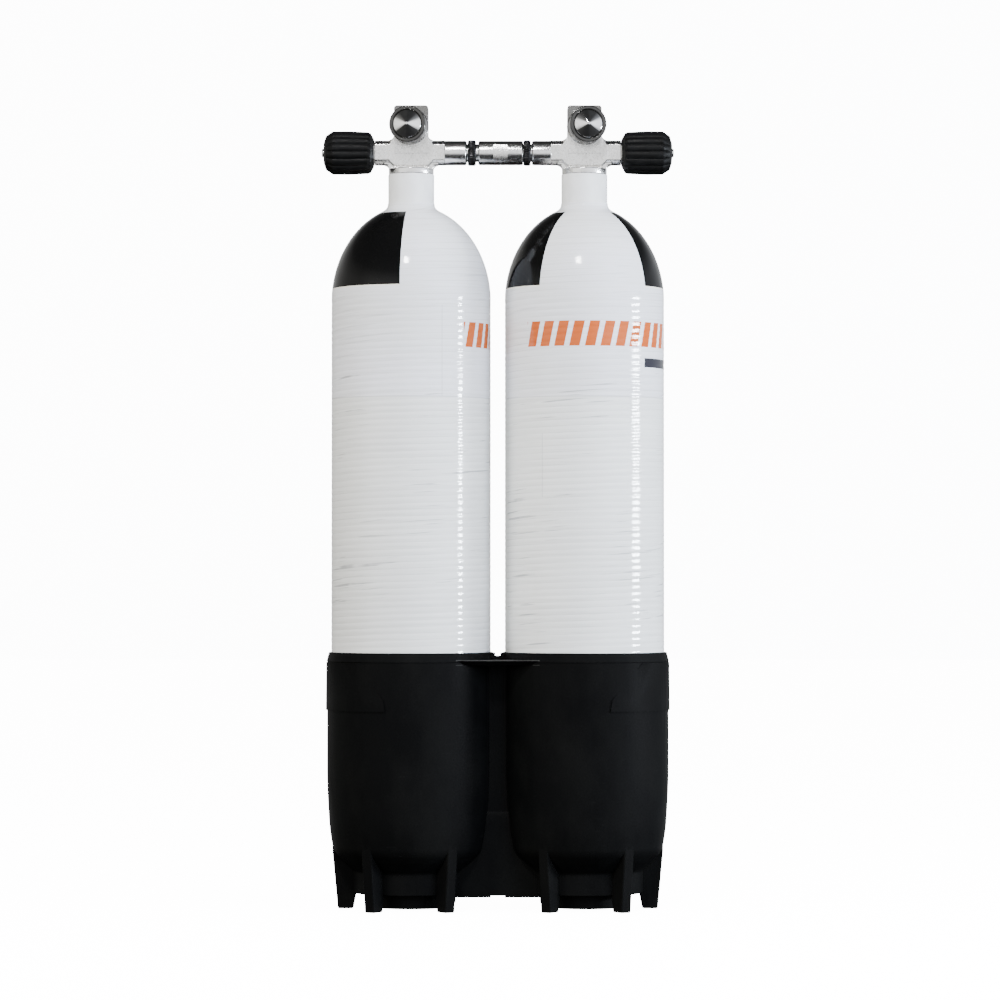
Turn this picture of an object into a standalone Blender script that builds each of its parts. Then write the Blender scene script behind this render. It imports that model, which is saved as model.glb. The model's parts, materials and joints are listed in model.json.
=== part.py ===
"""Twin compressed-air cylinders standing in one moulded boot, joined by a manifold bar.

Metres, +Z up, and the gas outlets face -Y. The origin is on the floor, midway between the cylinders.
The left side is at -X. Along a valve's side arms, "out" is the distance from that valve's own axis,
positive towards the handwheel and negative towards the manifold bar.
"""

import math

import bmesh
import bpy
from mathutils import Matrix, Vector

# Clearance between pieces that touch on the real object
GAP = 0.0003

# Cylinders
TANK_PITCH = 0.1734
TANK_RADIUS = 0.07975
TANK_BOTTOM = 0.032
BASE_DOME_TOP = 0.100
SHOULDER_START = 0.6056
SHOULDER_HEIGHT = 0.097
CROWN_RADIUS = 0.030
WRAP_THICKNESS = 0.006
LINER_THICKNESS = 0.003
NECK_RADIUS = 0.023
NECK_TOP = 0.733
WRAP_TOP = 0.704
NECK_BORE = 0.0128
SEAL_POCKET_RADIUS = 0.0165
SEAL_POCKET_DEPTH = 0.0025
NECK_SEAL_RADIUS = 0.0146
NECK_SEAL_CORD = 0.0011
TANK_SIDES = 24

# Boot
RIM_TOP = 0.2556
LIP_BOTTOM = 0.2464
LIP_OVERHANG = 0.0006
RIM_OUTER = 0.0813
WALL_RADIUS = 0.0838
POCKET_RADIUS = 0.0803
POCKET_FLOOR = TANK_BOTTOM - GAP
DRAIN_RADIUS = 0.010
RING_OUTER = 0.042
RING_INNER = 0.0385
RING_BOTTOM = 0.002
BASE_RADIUS = 0.058
BASE_BOTTOM = 0.016
UNDERSIDE = 0.027
PANEL_RADIUS = 0.0851
PANEL_LOW = 0.198
PANEL_LOW_ANGLE = math.radians(16)
PANEL_HIGH_ANGLE = math.radians(41)
WEB_FRONT = 0.030
WEB_BACK = 0.0265
WEB_FOOT_FRONT = 0.0325
WEB_FOOT_TOP = 0.088
WEB_HALF_LENGTH = 0.046
WEB_BOTTOM = 0.013
DECK_TOP = 0.2485
DECK_BOTTOM = 0.2436
DECK_FRONT = 0.070
DECK_LIP = 0.0063
DECK_HALF_LENGTH = 0.043
RIM_BRIDGE_TOP = 0.2545
RIM_BRIDGE_HALF_WIDTH = 0.009
RIM_BRIDGE_HALF_DEPTH = 0.024
RIM_NOTCH_FLOOR = 0.2515
RIM_NOTCH_HALF_WIDTH = 0.0026
FOOT_NOTCH_HALF_WIDTH = 0.007
FOOT_NOTCH_HEIGHT = 0.0018
NOTCH_CUT_HALF_DEPTH = 0.05
LEG_THICKNESS = 0.0115
LEG_TOP = 0.062
LEG_ANGLES = (-147, -33, 33, 147)
BOOT_SIDES = 32

# Valve bodies
VALVE_HEIGHT = 0.755
ARM_RADIUS = 0.0123
ARM_FLAT_DEPTH = 0.0097
KNOB_ARM_LENGTH = 0.0365
BAR_ARM_LENGTHS = {-1: 0.0557, 1: 0.0526}
FORGED_ARM_LENGTH = 0.034
BODY_HALF_WIDTH = 0.0175
BODY_BOTTOM = VALVE_HEIGHT - 0.0134
COLLAR_RADIUS = 0.0225
COLLAR_TOP = VALVE_HEIGHT - 0.016
FLARE_TOP_HALF = 0.027
FLARE_BOTTOM_HALF = 0.0222
FLARE_HALF_DEPTH = 0.0075
STUB_RADIUS = 0.0124
STUB_BOTTOM = 0.703
BLOCK_HALF_WIDTH = 0.01725
BLOCK_HALF_DEPTH = 0.0102
BLOCK_TOP = 0.802
BLOCK_CORNER = 0.003
OUTLET_HEIGHT = 0.781
OUTLET_YAW = math.radians(6)
OUTLET_FACE = 0.033
OUTLET_RADIUS = 0.0182
OUTLET_POCKET_RADIUS = 0.0142
OUTLET_POCKET_DEPTH = 0.0025
OUTLET_THREAD_RADIUS = 0.0115
OUTLET_FLOOR = 0.014
SEAT_FACE = 0.003
CHAMBER_RADIUS = 0.0083
BAR_SOCKET_RADIUS = 0.0093
BAR_SOCKET_FLOOR = 0.033
PASSAGE_RADIUS = 0.0025
TUBE_PASSAGE_RADIUS = 0.0033
ROUND_SIDES = 24
SMALL_SIDES = 16

# Valve spindle, gland and seat, as distances out along the arm
INSERT_RADIUS = 0.0045
INSERT_END = 0.0069
SEAT_START = 0.0044
SEAT_END = 0.016
SEAT_RADIUS = 0.008
SOCKET_FLOOR = 0.0085
TANG_HALF = 0.0026
TANG_START = 0.0114
COLLAR_START = 0.0213
COLLAR_END = 0.0235
SPINDLE_COLLAR_RADIUS = 0.0065
SPINDLE_RADIUS = 0.004
WASHER_RADIUS = 0.0076
GLAND_START = 0.025
GLAND_END = 0.0415
GLAND_HEX_RADIUS = 0.0125
GROOVE_START = 0.030
GROOVE_END = 0.0324
GROOVE_RADIUS = 0.0061
DRIVE_HALF = 0.003
DRIVE_END = 0.0717
STEM_END = 0.0871
STEM_RADIUS = 0.0025

# Handwheels, as distances out along the arm
GRIP_START = 0.0369
GRIP_END = 0.088
GRIP_RADIUS = 0.0219
GRIP_BORE = 0.0154
GRIP_MOUTH = 0.0131
FLUTES = 16
FLUTE_DEPTH = 0.0009
CORE_START = 0.0446
CORE_END = 0.084
CORE_RADIUS = 0.015
SPRING_WELL_START = 0.072
SPRING_WELL_RADIUS = 0.0062
SPRING_RADIUS = 0.0043
SPRING_WIRE = 0.00055
SPRING_TURNS = 4
NUT_START = 0.0808
NUT_END = 0.0896
NUT_RADIUS = 0.0043

# Outlet plugs, as distances along the outlet's axis
PLUG_HEAD_RADIUS = 0.0139
PLUG_SHANK_RADIUS = 0.0112
PLUG_NOSE = 0.0172
PLUG_CONE_HEIGHT = 0.0056
PLUG_TIP_RADIUS = 0.0008
OUTLET_SEAL_RADIUS = 0.0078
OUTLET_SEAL_CORD = 0.0013

# Manifold bar, as distances from the plane midway between the cylinders
BAR_RADIUS = 0.0122
BAR_LEFT = -0.0195
BAR_RIGHT = 0.0254
BAR_THREAD_RADIUS = 0.009
BAR_END = 0.0502
BAR_FLAT_CENTRE = 0.0026
BAR_FLAT_HALF_LENGTH = 0.0072
BAR_FLAT_DEPTH = 0.0095
RING_SPANS = {-1: (-0.0301, -0.0219), 1: (0.0257, 0.0329)}
RING_RADIUS = 0.0129
BAR_SEAL_RADIUS = 0.0068
BAR_SEAL_CORD = 0.0013

# Dip tubes
TUBE_RADIUS = 0.003
TUBE_BORE = 0.0018
TUBE_BOTTOM = 0.625
TUBE_TOP = 0.712

SIDES = (("left", -1), ("right", 1))

# Finishes: colour, roughness, metallic
WHITE_PAINT = ((0.82, 0.82, 0.83), 0.35, 0.0)
ALUMINIUM = ((0.74, 0.74, 0.75), 0.4, 1.0)
SATIN_NICKEL = ((0.55, 0.54, 0.52), 0.32, 1.0)
CHROME = ((0.72, 0.72, 0.72), 0.08, 1.0)
DARK_NICKEL = ((0.08, 0.08, 0.08), 0.35, 1.0)
BRASS = ((0.62, 0.47, 0.22), 0.3, 1.0)
SPRING_STEEL = ((0.5, 0.5, 0.5), 0.25, 1.0)
BLACK_RUBBER = ((0.015, 0.015, 0.015), 0.6, 0.0)
BLACK_PLASTIC = ((0.012, 0.012, 0.013), 0.45, 0.0)
WHITE_NYLON = ((0.75, 0.73, 0.68), 0.5, 0.0)


def clear_scene():
    for thing in list(bpy.data.objects):
        bpy.data.objects.remove(thing)


def add_material(thing, finish):
    colour, roughness, metallic = finish
    material = bpy.data.materials.new(thing.name)
    material.use_nodes = True
    shader = material.node_tree.nodes["Principled BSDF"]
    shader.inputs["Base Color"].default_value = (*colour, 1.0)
    shader.inputs["Roughness"].default_value = roughness
    shader.inputs["Metallic"].default_value = metallic
    thing.data.materials.append(material)


def add_object(name, shape, finish=None, parent=None, matrix=None):
    """A linked object made from a bmesh, shaded smooth with sharp edges, placed under its parent."""
    mesh = bpy.data.meshes.new(name)
    bmesh.ops.recalc_face_normals(shape, faces=shape.faces)
    shape.to_mesh(mesh)
    shape.free()
    mesh.shade_smooth()
    mesh.set_sharp_from_angle(angle=math.radians(35))
    thing = bpy.data.objects.new(name, mesh)
    bpy.context.collection.objects.link(thing)
    thing.parent = parent
    if matrix:
        thing.matrix_local = matrix
    if finish:
        add_material(thing, finish)
    return thing


def add_empty(name, location, direction=Vector((0, 0, 1))):
    """An empty whose local Z points along the direction, on a joint's axis."""
    empty = bpy.data.objects.new(name, None)
    bpy.context.collection.objects.link(empty)
    empty.location = location
    empty.rotation_mode = "QUATERNION"
    empty.rotation_quaternion = Vector((0, 0, 1)).rotation_difference(direction)
    return empty


def turned(outline, sides, phase=0.0, ripple=None):
    """Turns a closed outline of (radius, height) points about local Z. Points at radius 0 end it there.

    A ripple takes the outline point's number and the side's number and returns what comes off the radius.
    """
    shape = bmesh.new()
    rings = []
    for number, (radius, height) in enumerate(outline):
        if radius == 0.0:
            rings.append([shape.verts.new((0.0, 0.0, height))])
            continue
        ring = []
        for side in range(sides):
            angle = phase + math.tau * side / sides
            reach = radius - (ripple(number, side) if ripple else 0.0)
            ring.append(shape.verts.new((reach * math.cos(angle), reach * math.sin(angle), height)))
        rings.append(ring)
    for ring, after in zip(rings, rings[1:] + rings[:1]):
        if len(ring) == 1 and len(after) == 1:
            continue
        for side in range(sides):
            beside = (side + 1) % sides
            corners = [ring[side % len(ring)], ring[beside % len(ring)]]
            corners += [after[beside % len(after)], after[side % len(after)]]
            shape.faces.new(list(dict.fromkeys(corners)))
    return shape


def rod(radius, start, end, sides=ROUND_SIDES, phase=0.0):
    return turned([(0.0, start), (radius, start), (radius, end), (0.0, end)], sides, phase)


def square_rod(half_width, start, end):
    return rod(half_width * math.sqrt(2), start, end, 4, math.pi / 4)


def washer(bore, radius, start, end, sides=ROUND_SIDES):
    return turned([(bore, start), (radius, start), (radius, end), (bore, end)], sides)


def seal_ring(ring_radius, cord_radius, height, sides=SMALL_SIDES):
    """An O-ring with a six-sided cord."""
    outline = []
    for step in range(6):
        angle = math.tau * (step + 0.5) / 6
        outline.append((ring_radius + cord_radius * math.cos(angle), height + cord_radius * math.sin(angle)))
    return turned(outline, sides)


def prism(outline, low, high):
    """Extrudes an outline of (x, z) points along Y from low to high."""
    shape = bmesh.new()
    front = [shape.verts.new((x, low, z)) for x, z in outline]
    back = [shape.verts.new((x, high, z)) for x, z in outline]
    shape.faces.new(front)
    shape.faces.new(list(reversed(back)))
    for number in range(len(outline)):
        after = (number + 1) % len(outline)
        shape.faces.new((front[number], back[number], back[after], front[after]))
    return shape


def box(low, high):
    outline = [(low[0], low[2]), (high[0], low[2]), (high[0], high[2]), (low[0], high[2])]
    return prism(outline, low[1], high[1])


def helix(radius, wire, start, end, turns):
    """A four-sided wire wound about local Z, with flat ends."""
    shape = bmesh.new()
    steps = turns * 8
    rings = []
    for step in range(steps + 1):
        angle = math.tau * turns * step / steps
        outward = Vector((math.cos(angle), math.sin(angle), 0.0))
        centre = radius * outward + Vector((0.0, 0.0, start + (end - start) * step / steps))
        ring = []
        for side in range(4):
            turn = math.tau * side / 4
            offset = outward * math.cos(turn) + Vector((0.0, 0.0, math.sin(turn)))
            ring.append(shape.verts.new(centre + wire * offset))
        rings.append(ring)
    for ring, after in zip(rings, rings[1:]):
        for side in range(4):
            beside = (side + 1) % 4
            shape.faces.new((ring[side], ring[beside], after[beside], after[side]))
    shape.faces.new(rings[0])
    shape.faces.new(rings[-1])
    return shape


def combine(thing, operation, tools):
    """Joins or cuts with a list of (shape, matrix) tools at once. They are kept as hidden objects."""
    group = bpy.data.collections.new(f"{thing.name}_{operation.lower()}")
    bpy.context.scene.collection.children.link(group)
    for number, (shape, matrix) in enumerate(tools):
        tool = add_object(f"{group.name}_{number}", shape, parent=thing.parent, matrix=matrix)
        tool.hide_render = True
        tool.display_type = "WIRE"
        bpy.context.collection.objects.unlink(tool)
        group.objects.link(tool)
    modifier = thing.modifiers.new(group.name, "BOOLEAN")
    modifier.operation = operation
    modifier.solver = "EXACT"
    modifier.operand_type = "COLLECTION"
    modifier.collection = group


def dome_arc(radius, height, base, steps):
    """Points on a quarter ellipse from the widest circle up (or down, for a negative height) to its top."""
    arc = []
    for step in range(steps):
        angle = math.pi / 2 * step / steps
        arc.append((radius * math.cos(angle), base + height * math.sin(angle)))
    return arc


def dome_height(radius, height, base, at_radius):
    return base + height * math.sqrt(1 - (at_radius / radius) ** 2)


def build_overwrap(name, x):
    """The fibre shell that is wound over the liner: a tube with a domed shoulder and a domed base."""
    base_height = BASE_DOME_TOP - TANK_BOTTOM
    crown = dome_height(TANK_RADIUS, SHOULDER_HEIGHT, SHOULDER_START, CROWN_RADIUS)
    shoulder = []
    for radius, height in dome_arc(TANK_RADIUS, SHOULDER_HEIGHT, SHOULDER_START, 6):
        if radius > CROWN_RADIUS:
            shoulder.append((radius, height))
    inside_radius = TANK_RADIUS - WRAP_THICKNESS
    inside_base = dome_arc(inside_radius, WRAP_THICKNESS - base_height, BASE_DOME_TOP, 4)
    inside = [(0.0, TANK_BOTTOM + WRAP_THICKNESS)] + inside_base[::-1]
    inside_crown = SHOULDER_HEIGHT - WRAP_THICKNESS + GAP
    for radius, height in dome_arc(inside_radius, inside_crown, SHOULDER_START, 4):
        if radius > NECK_RADIUS + GAP:
            inside.append((radius, height))
    bore = NECK_RADIUS + GAP
    inside.append((bore, dome_height(inside_radius, inside_crown, SHOULDER_START, bore)))
    fillet_low = (NECK_RADIUS + 0.003, WRAP_TOP - 0.0052)
    outline = [(0.0, TANK_BOTTOM)] + dome_arc(TANK_RADIUS, -base_height, BASE_DOME_TOP, 5)[::-1] + shoulder
    outline += [(CROWN_RADIUS, crown), fillet_low, (NECK_RADIUS + 0.0009, WRAP_TOP), (bore, WRAP_TOP)]
    outline += inside[::-1]
    place = add_empty(name + "_axis", (x, 0, 0))
    add_object(name, turned(outline, TANK_SIDES), WHITE_PAINT, place)


def build_liner(name, x):
    """The aluminium pressure liner inside the overwrap, with the threaded neck that the valve screws into."""
    radius = TANK_RADIUS - WRAP_THICKNESS - GAP
    base_height = BASE_DOME_TOP - TANK_BOTTOM - WRAP_THICKNESS - GAP
    crown_height = SHOULDER_HEIGHT - WRAP_THICKNESS
    inner_radius = radius - LINER_THICKNESS
    inner_base = base_height - LINER_THICKNESS
    inner_crown = crown_height - LINER_THICKNESS
    outline = [(0.0, BASE_DOME_TOP - base_height)]
    outline += dome_arc(radius, -base_height, BASE_DOME_TOP, 4)[::-1]
    for reach, height in dome_arc(radius, crown_height, SHOULDER_START, 4):
        if reach > NECK_RADIUS:
            outline.append((reach, height))
    outline.append((NECK_RADIUS, dome_height(radius, crown_height, SHOULDER_START, NECK_RADIUS)))
    outline += [(NECK_RADIUS, NECK_TOP), (SEAL_POCKET_RADIUS, NECK_TOP)]
    outline += [(SEAL_POCKET_RADIUS, NECK_TOP - SEAL_POCKET_DEPTH), (NECK_BORE, NECK_TOP - SEAL_POCKET_DEPTH)]
    outline.append((NECK_BORE, dome_height(inner_radius, inner_crown, SHOULDER_START, NECK_BORE)))
    outline += dome_arc(inner_radius, inner_crown, SHOULDER_START, 4)[::-1]
    outline += dome_arc(inner_radius, -inner_base, BASE_DOME_TOP, 3)
    outline.append((0.0, BASE_DOME_TOP - inner_base))
    place = add_empty(name + "_axis", (x, 0, 0))
    add_object(name, turned(outline, TANK_SIDES), ALUMINIUM, place)


def cup_outside():
    """The outer outline of one cup of the boot, from its skirt up to the rim."""
    return [
        (0.0, RING_BOTTOM),
        (RING_OUTER, RING_BOTTOM),
        (RING_OUTER, BASE_BOTTOM),
        (BASE_RADIUS, BASE_BOTTOM),
        (BASE_RADIUS, 0.0380),
        (0.0696, 0.0490),
        (0.0769, 0.0575),
        (0.0800, 0.0690),
        (0.0813, 0.080),
        (0.0824, 0.108),
        (WALL_RADIUS, 0.124),
        (WALL_RADIUS, LIP_BOTTOM),
        (WALL_RADIUS + LIP_OVERHANG, LIP_BOTTOM),
        (RIM_OUTER, RIM_TOP),
        (0.0, RIM_TOP),
    ]


def cup_hollow():
    """What is empty in a cup: the hollow under its floor, the drain hole, and the space for the cylinder."""
    return [
        (0.0, RING_BOTTOM - 0.01),
        (RING_INNER, RING_BOTTOM - 0.01),
        (RING_INNER, UNDERSIDE),
        (DRAIN_RADIUS, UNDERSIDE),
        (DRAIN_RADIUS, POCKET_FLOOR),
        (0.048, 0.0365),
        (0.062, 0.046),
        (0.071, 0.0576),
        (0.0755, 0.070),
        (0.0787, 0.085),
        (POCKET_RADIUS, BASE_DOME_TOP),
        (POCKET_RADIUS, RIM_TOP + 0.01),
        (0.0, RIM_TOP + 0.01),
    ]


def leg_shape():
    """One fin-shaped leg along local X, as thick as LEG_THICKNESS, that stands on the floor."""
    outer = [(0.0574, 0.0), (0.0728, 0.0), (0.0782, 0.057), (0.0760, LEG_TOP)]
    outline = outer + [(0.0535, 0.040), (0.0535, 0.020)]
    return prism(outline, -LEG_THICKNESS / 2, LEG_THICKNESS / 2)


def side_panel(side):
    """A raised band round a cup's outer side, whose two ends slope back towards its top."""
    shape = bmesh.new()
    steps = 9
    rows = ((PANEL_LOW, PANEL_LOW_ANGLE), (LIP_BOTTOM - LIP_OVERHANG, PANEL_HIGH_ANGLE))
    columns = []
    for step in range(steps + 1):
        column = []
        for height, reach in rows:
            angle = reach + (math.pi - 2 * reach) * step / steps
            for radius in (WALL_RADIUS - 0.002, PANEL_RADIUS):
                place = (side * radius * math.sin(angle), -radius * math.cos(angle), height)
                column.append(shape.verts.new(place))
        columns.append(column)
    for column, after in zip(columns, columns[1:]):
        for here, there in ((0, 1), (1, 3), (3, 2), (2, 0)):
            shape.faces.new((column[here], column[there], after[there], after[here]))
    shape.faces.new([columns[0][corner] for corner in (0, 2, 3, 1)])
    shape.faces.new([columns[-1][corner] for corner in (0, 1, 3, 2)])
    return shape


def web_shape(facing):
    """The web between the cups, set back from their fronts, with a thicker foot under a sloped ledge."""
    outline = [
        (WEB_BACK, WEB_BOTTOM),
        (WEB_FOOT_FRONT, WEB_BOTTOM),
        (WEB_FOOT_FRONT, WEB_FOOT_TOP),
        (WEB_FRONT, WEB_FOOT_TOP + 0.010),
        (WEB_FRONT, DECK_BOTTOM + 0.001),
        (WEB_BACK, DECK_BOTTOM + 0.001),
    ]
    faced = [(facing * depth, height) for depth, height in outline]
    return prism(faced, -WEB_HALF_LENGTH, WEB_HALF_LENGTH)


def deck_shape():
    """The flat deck that ties the cups together just under their rims, with undercut front and back edges."""
    lower = DECK_FRONT - DECK_LIP
    outline = [(-lower, DECK_BOTTOM), (lower, DECK_BOTTOM), (DECK_FRONT, DECK_TOP), (-DECK_FRONT, DECK_TOP)]
    return prism(outline, -DECK_HALF_LENGTH, DECK_HALF_LENGTH)


def build_boot():
    """One moulding: two cups joined by a deck, a front web and a back web, on fin-shaped legs."""
    half_pitch = TANK_PITCH / 2
    across = Matrix.Rotation(math.pi / 2, 4, "Z")
    boot = add_object("twin_boot", deck_shape(), BLACK_PLASTIC, add_empty("boot_place", (0, 0, 0)))
    boot.data.transform(across)
    bridge = box(
        (-RIM_BRIDGE_HALF_WIDTH, -RIM_BRIDGE_HALF_DEPTH, DECK_BOTTOM + 0.002),
        (RIM_BRIDGE_HALF_WIDTH, RIM_BRIDGE_HALF_DEPTH, RIM_BRIDGE_TOP),
    )
    joined = [(web_shape(-1), across), (web_shape(1), across), (bridge, None)]
    for _, side in SIDES:
        cup = Matrix.Translation((side * half_pitch, 0, 0))
        joined.append((turned(cup_outside(), BOOT_SIDES), cup))
        joined.append((side_panel(side), cup))
        for angle in LEG_ANGLES + (side * 90,):
            facing = Matrix.Rotation(math.radians(angle - 90), 4, "Z")
            joined.append((leg_shape(), cup @ facing))
    combine(boot, "UNION", joined)
    rim_notch = box(
        (-RIM_NOTCH_HALF_WIDTH, -NOTCH_CUT_HALF_DEPTH, RIM_NOTCH_FLOOR),
        (RIM_NOTCH_HALF_WIDTH, NOTCH_CUT_HALF_DEPTH, RIM_TOP + 0.01),
    )
    foot_notch = box(
        (-FOOT_NOTCH_HALF_WIDTH, -NOTCH_CUT_HALF_DEPTH, WEB_BOTTOM - 0.01),
        (FOOT_NOTCH_HALF_WIDTH, NOTCH_CUT_HALF_DEPTH, WEB_BOTTOM + FOOT_NOTCH_HEIGHT),
    )
    cuts = [(rim_notch, None), (foot_notch, None)]
    for _, side in SIDES:
        cup = Matrix.Translation((side * half_pitch, 0, 0))
        cuts.append((turned(cup_hollow(), BOOT_SIDES), cup))
    combine(boot, "DIFFERENCE", cuts)


def arm_turn(side):
    """Turns local Z to point out along a side's handwheel arm."""
    return Matrix.Rotation(side * math.pi / 2, 4, "Y")


def outlet_direction(side):
    """The way an outlet faces: forward, and a little outward."""
    return Vector((side * math.sin(OUTLET_YAW), -math.cos(OUTLET_YAW), 0.0))


def outlet_turn(side):
    quarter = Vector((0, 0, 1)).rotation_difference(outlet_direction(side))
    return quarter.to_matrix().to_4x4()


def between(start, end):
    """A matrix that lays a unit of local Z from start towards end, and the distance between them."""
    way = Vector(end) - Vector(start)
    turn = Vector((0, 0, 1)).rotation_difference(way).to_matrix().to_4x4()
    return Matrix.Translation(start) @ turn, way.length


def block_outline():
    """The outlet block from the front, with two rounded top corners."""
    half, top, corner = BLOCK_HALF_WIDTH, BLOCK_TOP - VALVE_HEIGHT, BLOCK_CORNER
    outline = [(-half, 0.0), (half, 0.0)]
    for centre_x, start in ((half - corner, 0.0), (corner - half, math.pi / 2)):
        for step in range(4):
            angle = start + math.pi / 2 * step / 3
            outline.append((centre_x + corner * math.cos(angle), top - corner + corner * math.sin(angle)))
    return outline


def flattened(shape, half_depth):
    """Presses a shape's front and back flat, along local Y."""
    for point in shape.verts:
        point.co.y = max(-half_depth, min(half_depth, point.co.y))
    return shape


def build_valve_body(name, side, place):
    """The forged body: two side arms, a flat front and back, the outlet block, and the stub below."""
    arm = arm_turn(side)
    outlet = Matrix.Translation((0, 0, OUTLET_HEIGHT - VALVE_HEIGHT)) @ outlet_turn(side)
    block = prism(block_outline(), -BLOCK_HALF_DEPTH, BLOCK_HALF_DEPTH)
    body = add_object(name, block, SATIN_NICKEL, place)
    bar_arm_length = BAR_ARM_LENGTHS[side]
    turned_arm = rod(ARM_RADIUS, -bar_arm_length, -FORGED_ARM_LENGTH + 0.001)
    forged_arm = flattened(rod(ARM_RADIUS + 0.0002, -FORGED_ARM_LENGTH, KNOB_ARM_LENGTH), ARM_FLAT_DEPTH)
    bottom = BODY_BOTTOM - VALVE_HEIGHT
    collar_low = NECK_TOP + GAP - VALVE_HEIGHT
    collar_high = COLLAR_TOP - VALVE_HEIGHT
    pad_depth = ARM_FLAT_DEPTH + 0.0002
    centre = box((-BODY_HALF_WIDTH, -pad_depth, bottom), (BODY_HALF_WIDTH, pad_depth, 0.002))
    flare = prism([
        (-FLARE_TOP_HALF, bottom + 0.003),
        (-FLARE_BOTTOM_HALF - 0.0012, bottom + 0.0006),
        (-FLARE_BOTTOM_HALF, collar_high - 0.0005),
        (FLARE_BOTTOM_HALF, collar_high - 0.0005),
        (FLARE_BOTTOM_HALF + 0.0012, bottom + 0.0006),
        (FLARE_TOP_HALF, bottom + 0.003),
    ], -FLARE_HALF_DEPTH, FLARE_HALF_DEPTH)
    base = turned([
        (0.0, STUB_BOTTOM - VALVE_HEIGHT),
        (STUB_RADIUS, STUB_BOTTOM - VALVE_HEIGHT),
        (STUB_RADIUS, collar_low),
        (COLLAR_RADIUS, collar_low),
        (COLLAR_RADIUS, collar_high),
        (0.0, collar_high),
    ], ROUND_SIDES)
    boss = turned([
        (0.0, 0.001),
        (OUTLET_RADIUS, 0.001),
        (OUTLET_RADIUS, OUTLET_FACE - 0.0007),
        (OUTLET_RADIUS - 0.0007, OUTLET_FACE),
        (0.0, OUTLET_FACE),
    ], ROUND_SIDES)
    on_centre = [(centre, None), (flare, None), (base, None)]
    combine(body, "UNION", [(turned_arm, arm), (forged_arm, arm), (boss, outlet)] + on_centre)
    pocket_floor = OUTLET_FACE - OUTLET_POCKET_DEPTH
    outlet_bore = turned([
        (0.0, OUTLET_FLOOR),
        (OUTLET_THREAD_RADIUS, OUTLET_FLOOR),
        (OUTLET_THREAD_RADIUS, pocket_floor),
        (OUTLET_POCKET_RADIUS, pocket_floor),
        (OUTLET_POCKET_RADIUS, OUTLET_FACE + 0.002),
        (0.0, OUTLET_FACE + 0.002),
    ], ROUND_SIDES)
    drilling, reach = between((side * 0.007, 0, 0.004), (0, -0.004, OUTLET_HEIGHT - VALVE_HEIGHT))
    cuts = [
        (outlet_bore, outlet),
        (rod(CHAMBER_RADIUS, SEAT_FACE, KNOB_ARM_LENGTH + 0.002), arm),
        (rod(BAR_SOCKET_RADIUS, -bar_arm_length - 0.002, -BAR_SOCKET_FLOOR), arm),
        (rod(PASSAGE_RADIUS, -BAR_SOCKET_FLOOR - 0.001, SEAT_FACE + 0.001, 12), arm),
        (rod(TUBE_PASSAGE_RADIUS, STUB_BOTTOM - VALVE_HEIGHT - 0.002, 0.0, 12), None),
        (rod(PASSAGE_RADIUS * 0.8, 0.0, reach, 10), drilling),
        (rod(PASSAGE_RADIUS, -0.004, OUTLET_FLOOR + 0.001, 12), outlet),
    ]
    combine(body, "DIFFERENCE", cuts)


def build_gland(name, axis):
    """The threaded bush that closes the arm round the spindle, with a hexagon and a groove for its seal."""
    hexagon_start = KNOB_ARM_LENGTH + GAP
    bush = add_object(name, rod(SEAT_RADIUS, GLAND_START, hexagon_start + 0.001), BRASS, axis)
    hexagon = rod(GLAND_HEX_RADIUS, hexagon_start, GLAND_END, 6)
    combine(bush, "UNION", [(hexagon, None)])
    bore = SPINDLE_RADIUS + GAP
    hole = turned([
        (0.0, GLAND_START - 0.002),
        (bore, GLAND_START - 0.002),
        (bore, GROOVE_START),
        (GROOVE_RADIUS, GROOVE_START),
        (GROOVE_RADIUS, GROOVE_END),
        (bore, GROOVE_END),
        (bore, GLAND_END + 0.002),
        (0.0, GLAND_END + 0.002),
    ], SMALL_SIDES)
    combine(bush, "DIFFERENCE", [(hole, None)])


def build_spindle(name, axis):
    """The stem: a square tang in the seat plug, a thrust collar, a shaft, a square drive and a thread."""
    stem = turned([
        (0.0, COLLAR_START),
        (SPINDLE_COLLAR_RADIUS, COLLAR_START),
        (SPINDLE_COLLAR_RADIUS, COLLAR_END),
        (SPINDLE_RADIUS, COLLAR_END),
        (SPINDLE_RADIUS, GLAND_END + 0.0005),
        (STEM_RADIUS, GLAND_END + 0.0005),
        (STEM_RADIUS, STEM_END),
        (0.0, STEM_END),
    ], SMALL_SIDES)
    spindle = add_object(name, stem, BRASS, axis)
    tang = square_rod(TANG_HALF, TANG_START, COLLAR_START + 0.001)
    drive = square_rod(DRIVE_HALF, GLAND_END, DRIVE_END)
    combine(spindle, "UNION", [(tang, None), (drive, None)])


def build_seat(side_name, axis):
    """The threaded plug that the spindle turns, and the soft disc in its nose that closes the seat."""
    nose_pocket = INSERT_RADIUS + GAP
    plug = turned([
        (0.0, INSERT_END + GAP),
        (nose_pocket, INSERT_END + GAP),
        (nose_pocket, SEAT_START),
        (SEAT_RADIUS - 0.001, SEAT_START),
        (SEAT_RADIUS, SEAT_START + 0.001),
        (SEAT_RADIUS, SEAT_END),
        (0.0, SEAT_END),
    ], SMALL_SIDES)
    seat = add_object(f"{side_name}_seat_plug", plug, BRASS, axis)
    socket = square_rod(TANG_HALF + GAP, SOCKET_FLOOR, SEAT_END + 0.002)
    combine(seat, "DIFFERENCE", [(socket, None)])
    insert = rod(INSERT_RADIUS, SEAT_FACE + GAP, INSERT_END, SMALL_SIDES)
    add_object(f"{side_name}_seat_insert", insert, WHITE_NYLON, axis)


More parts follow.
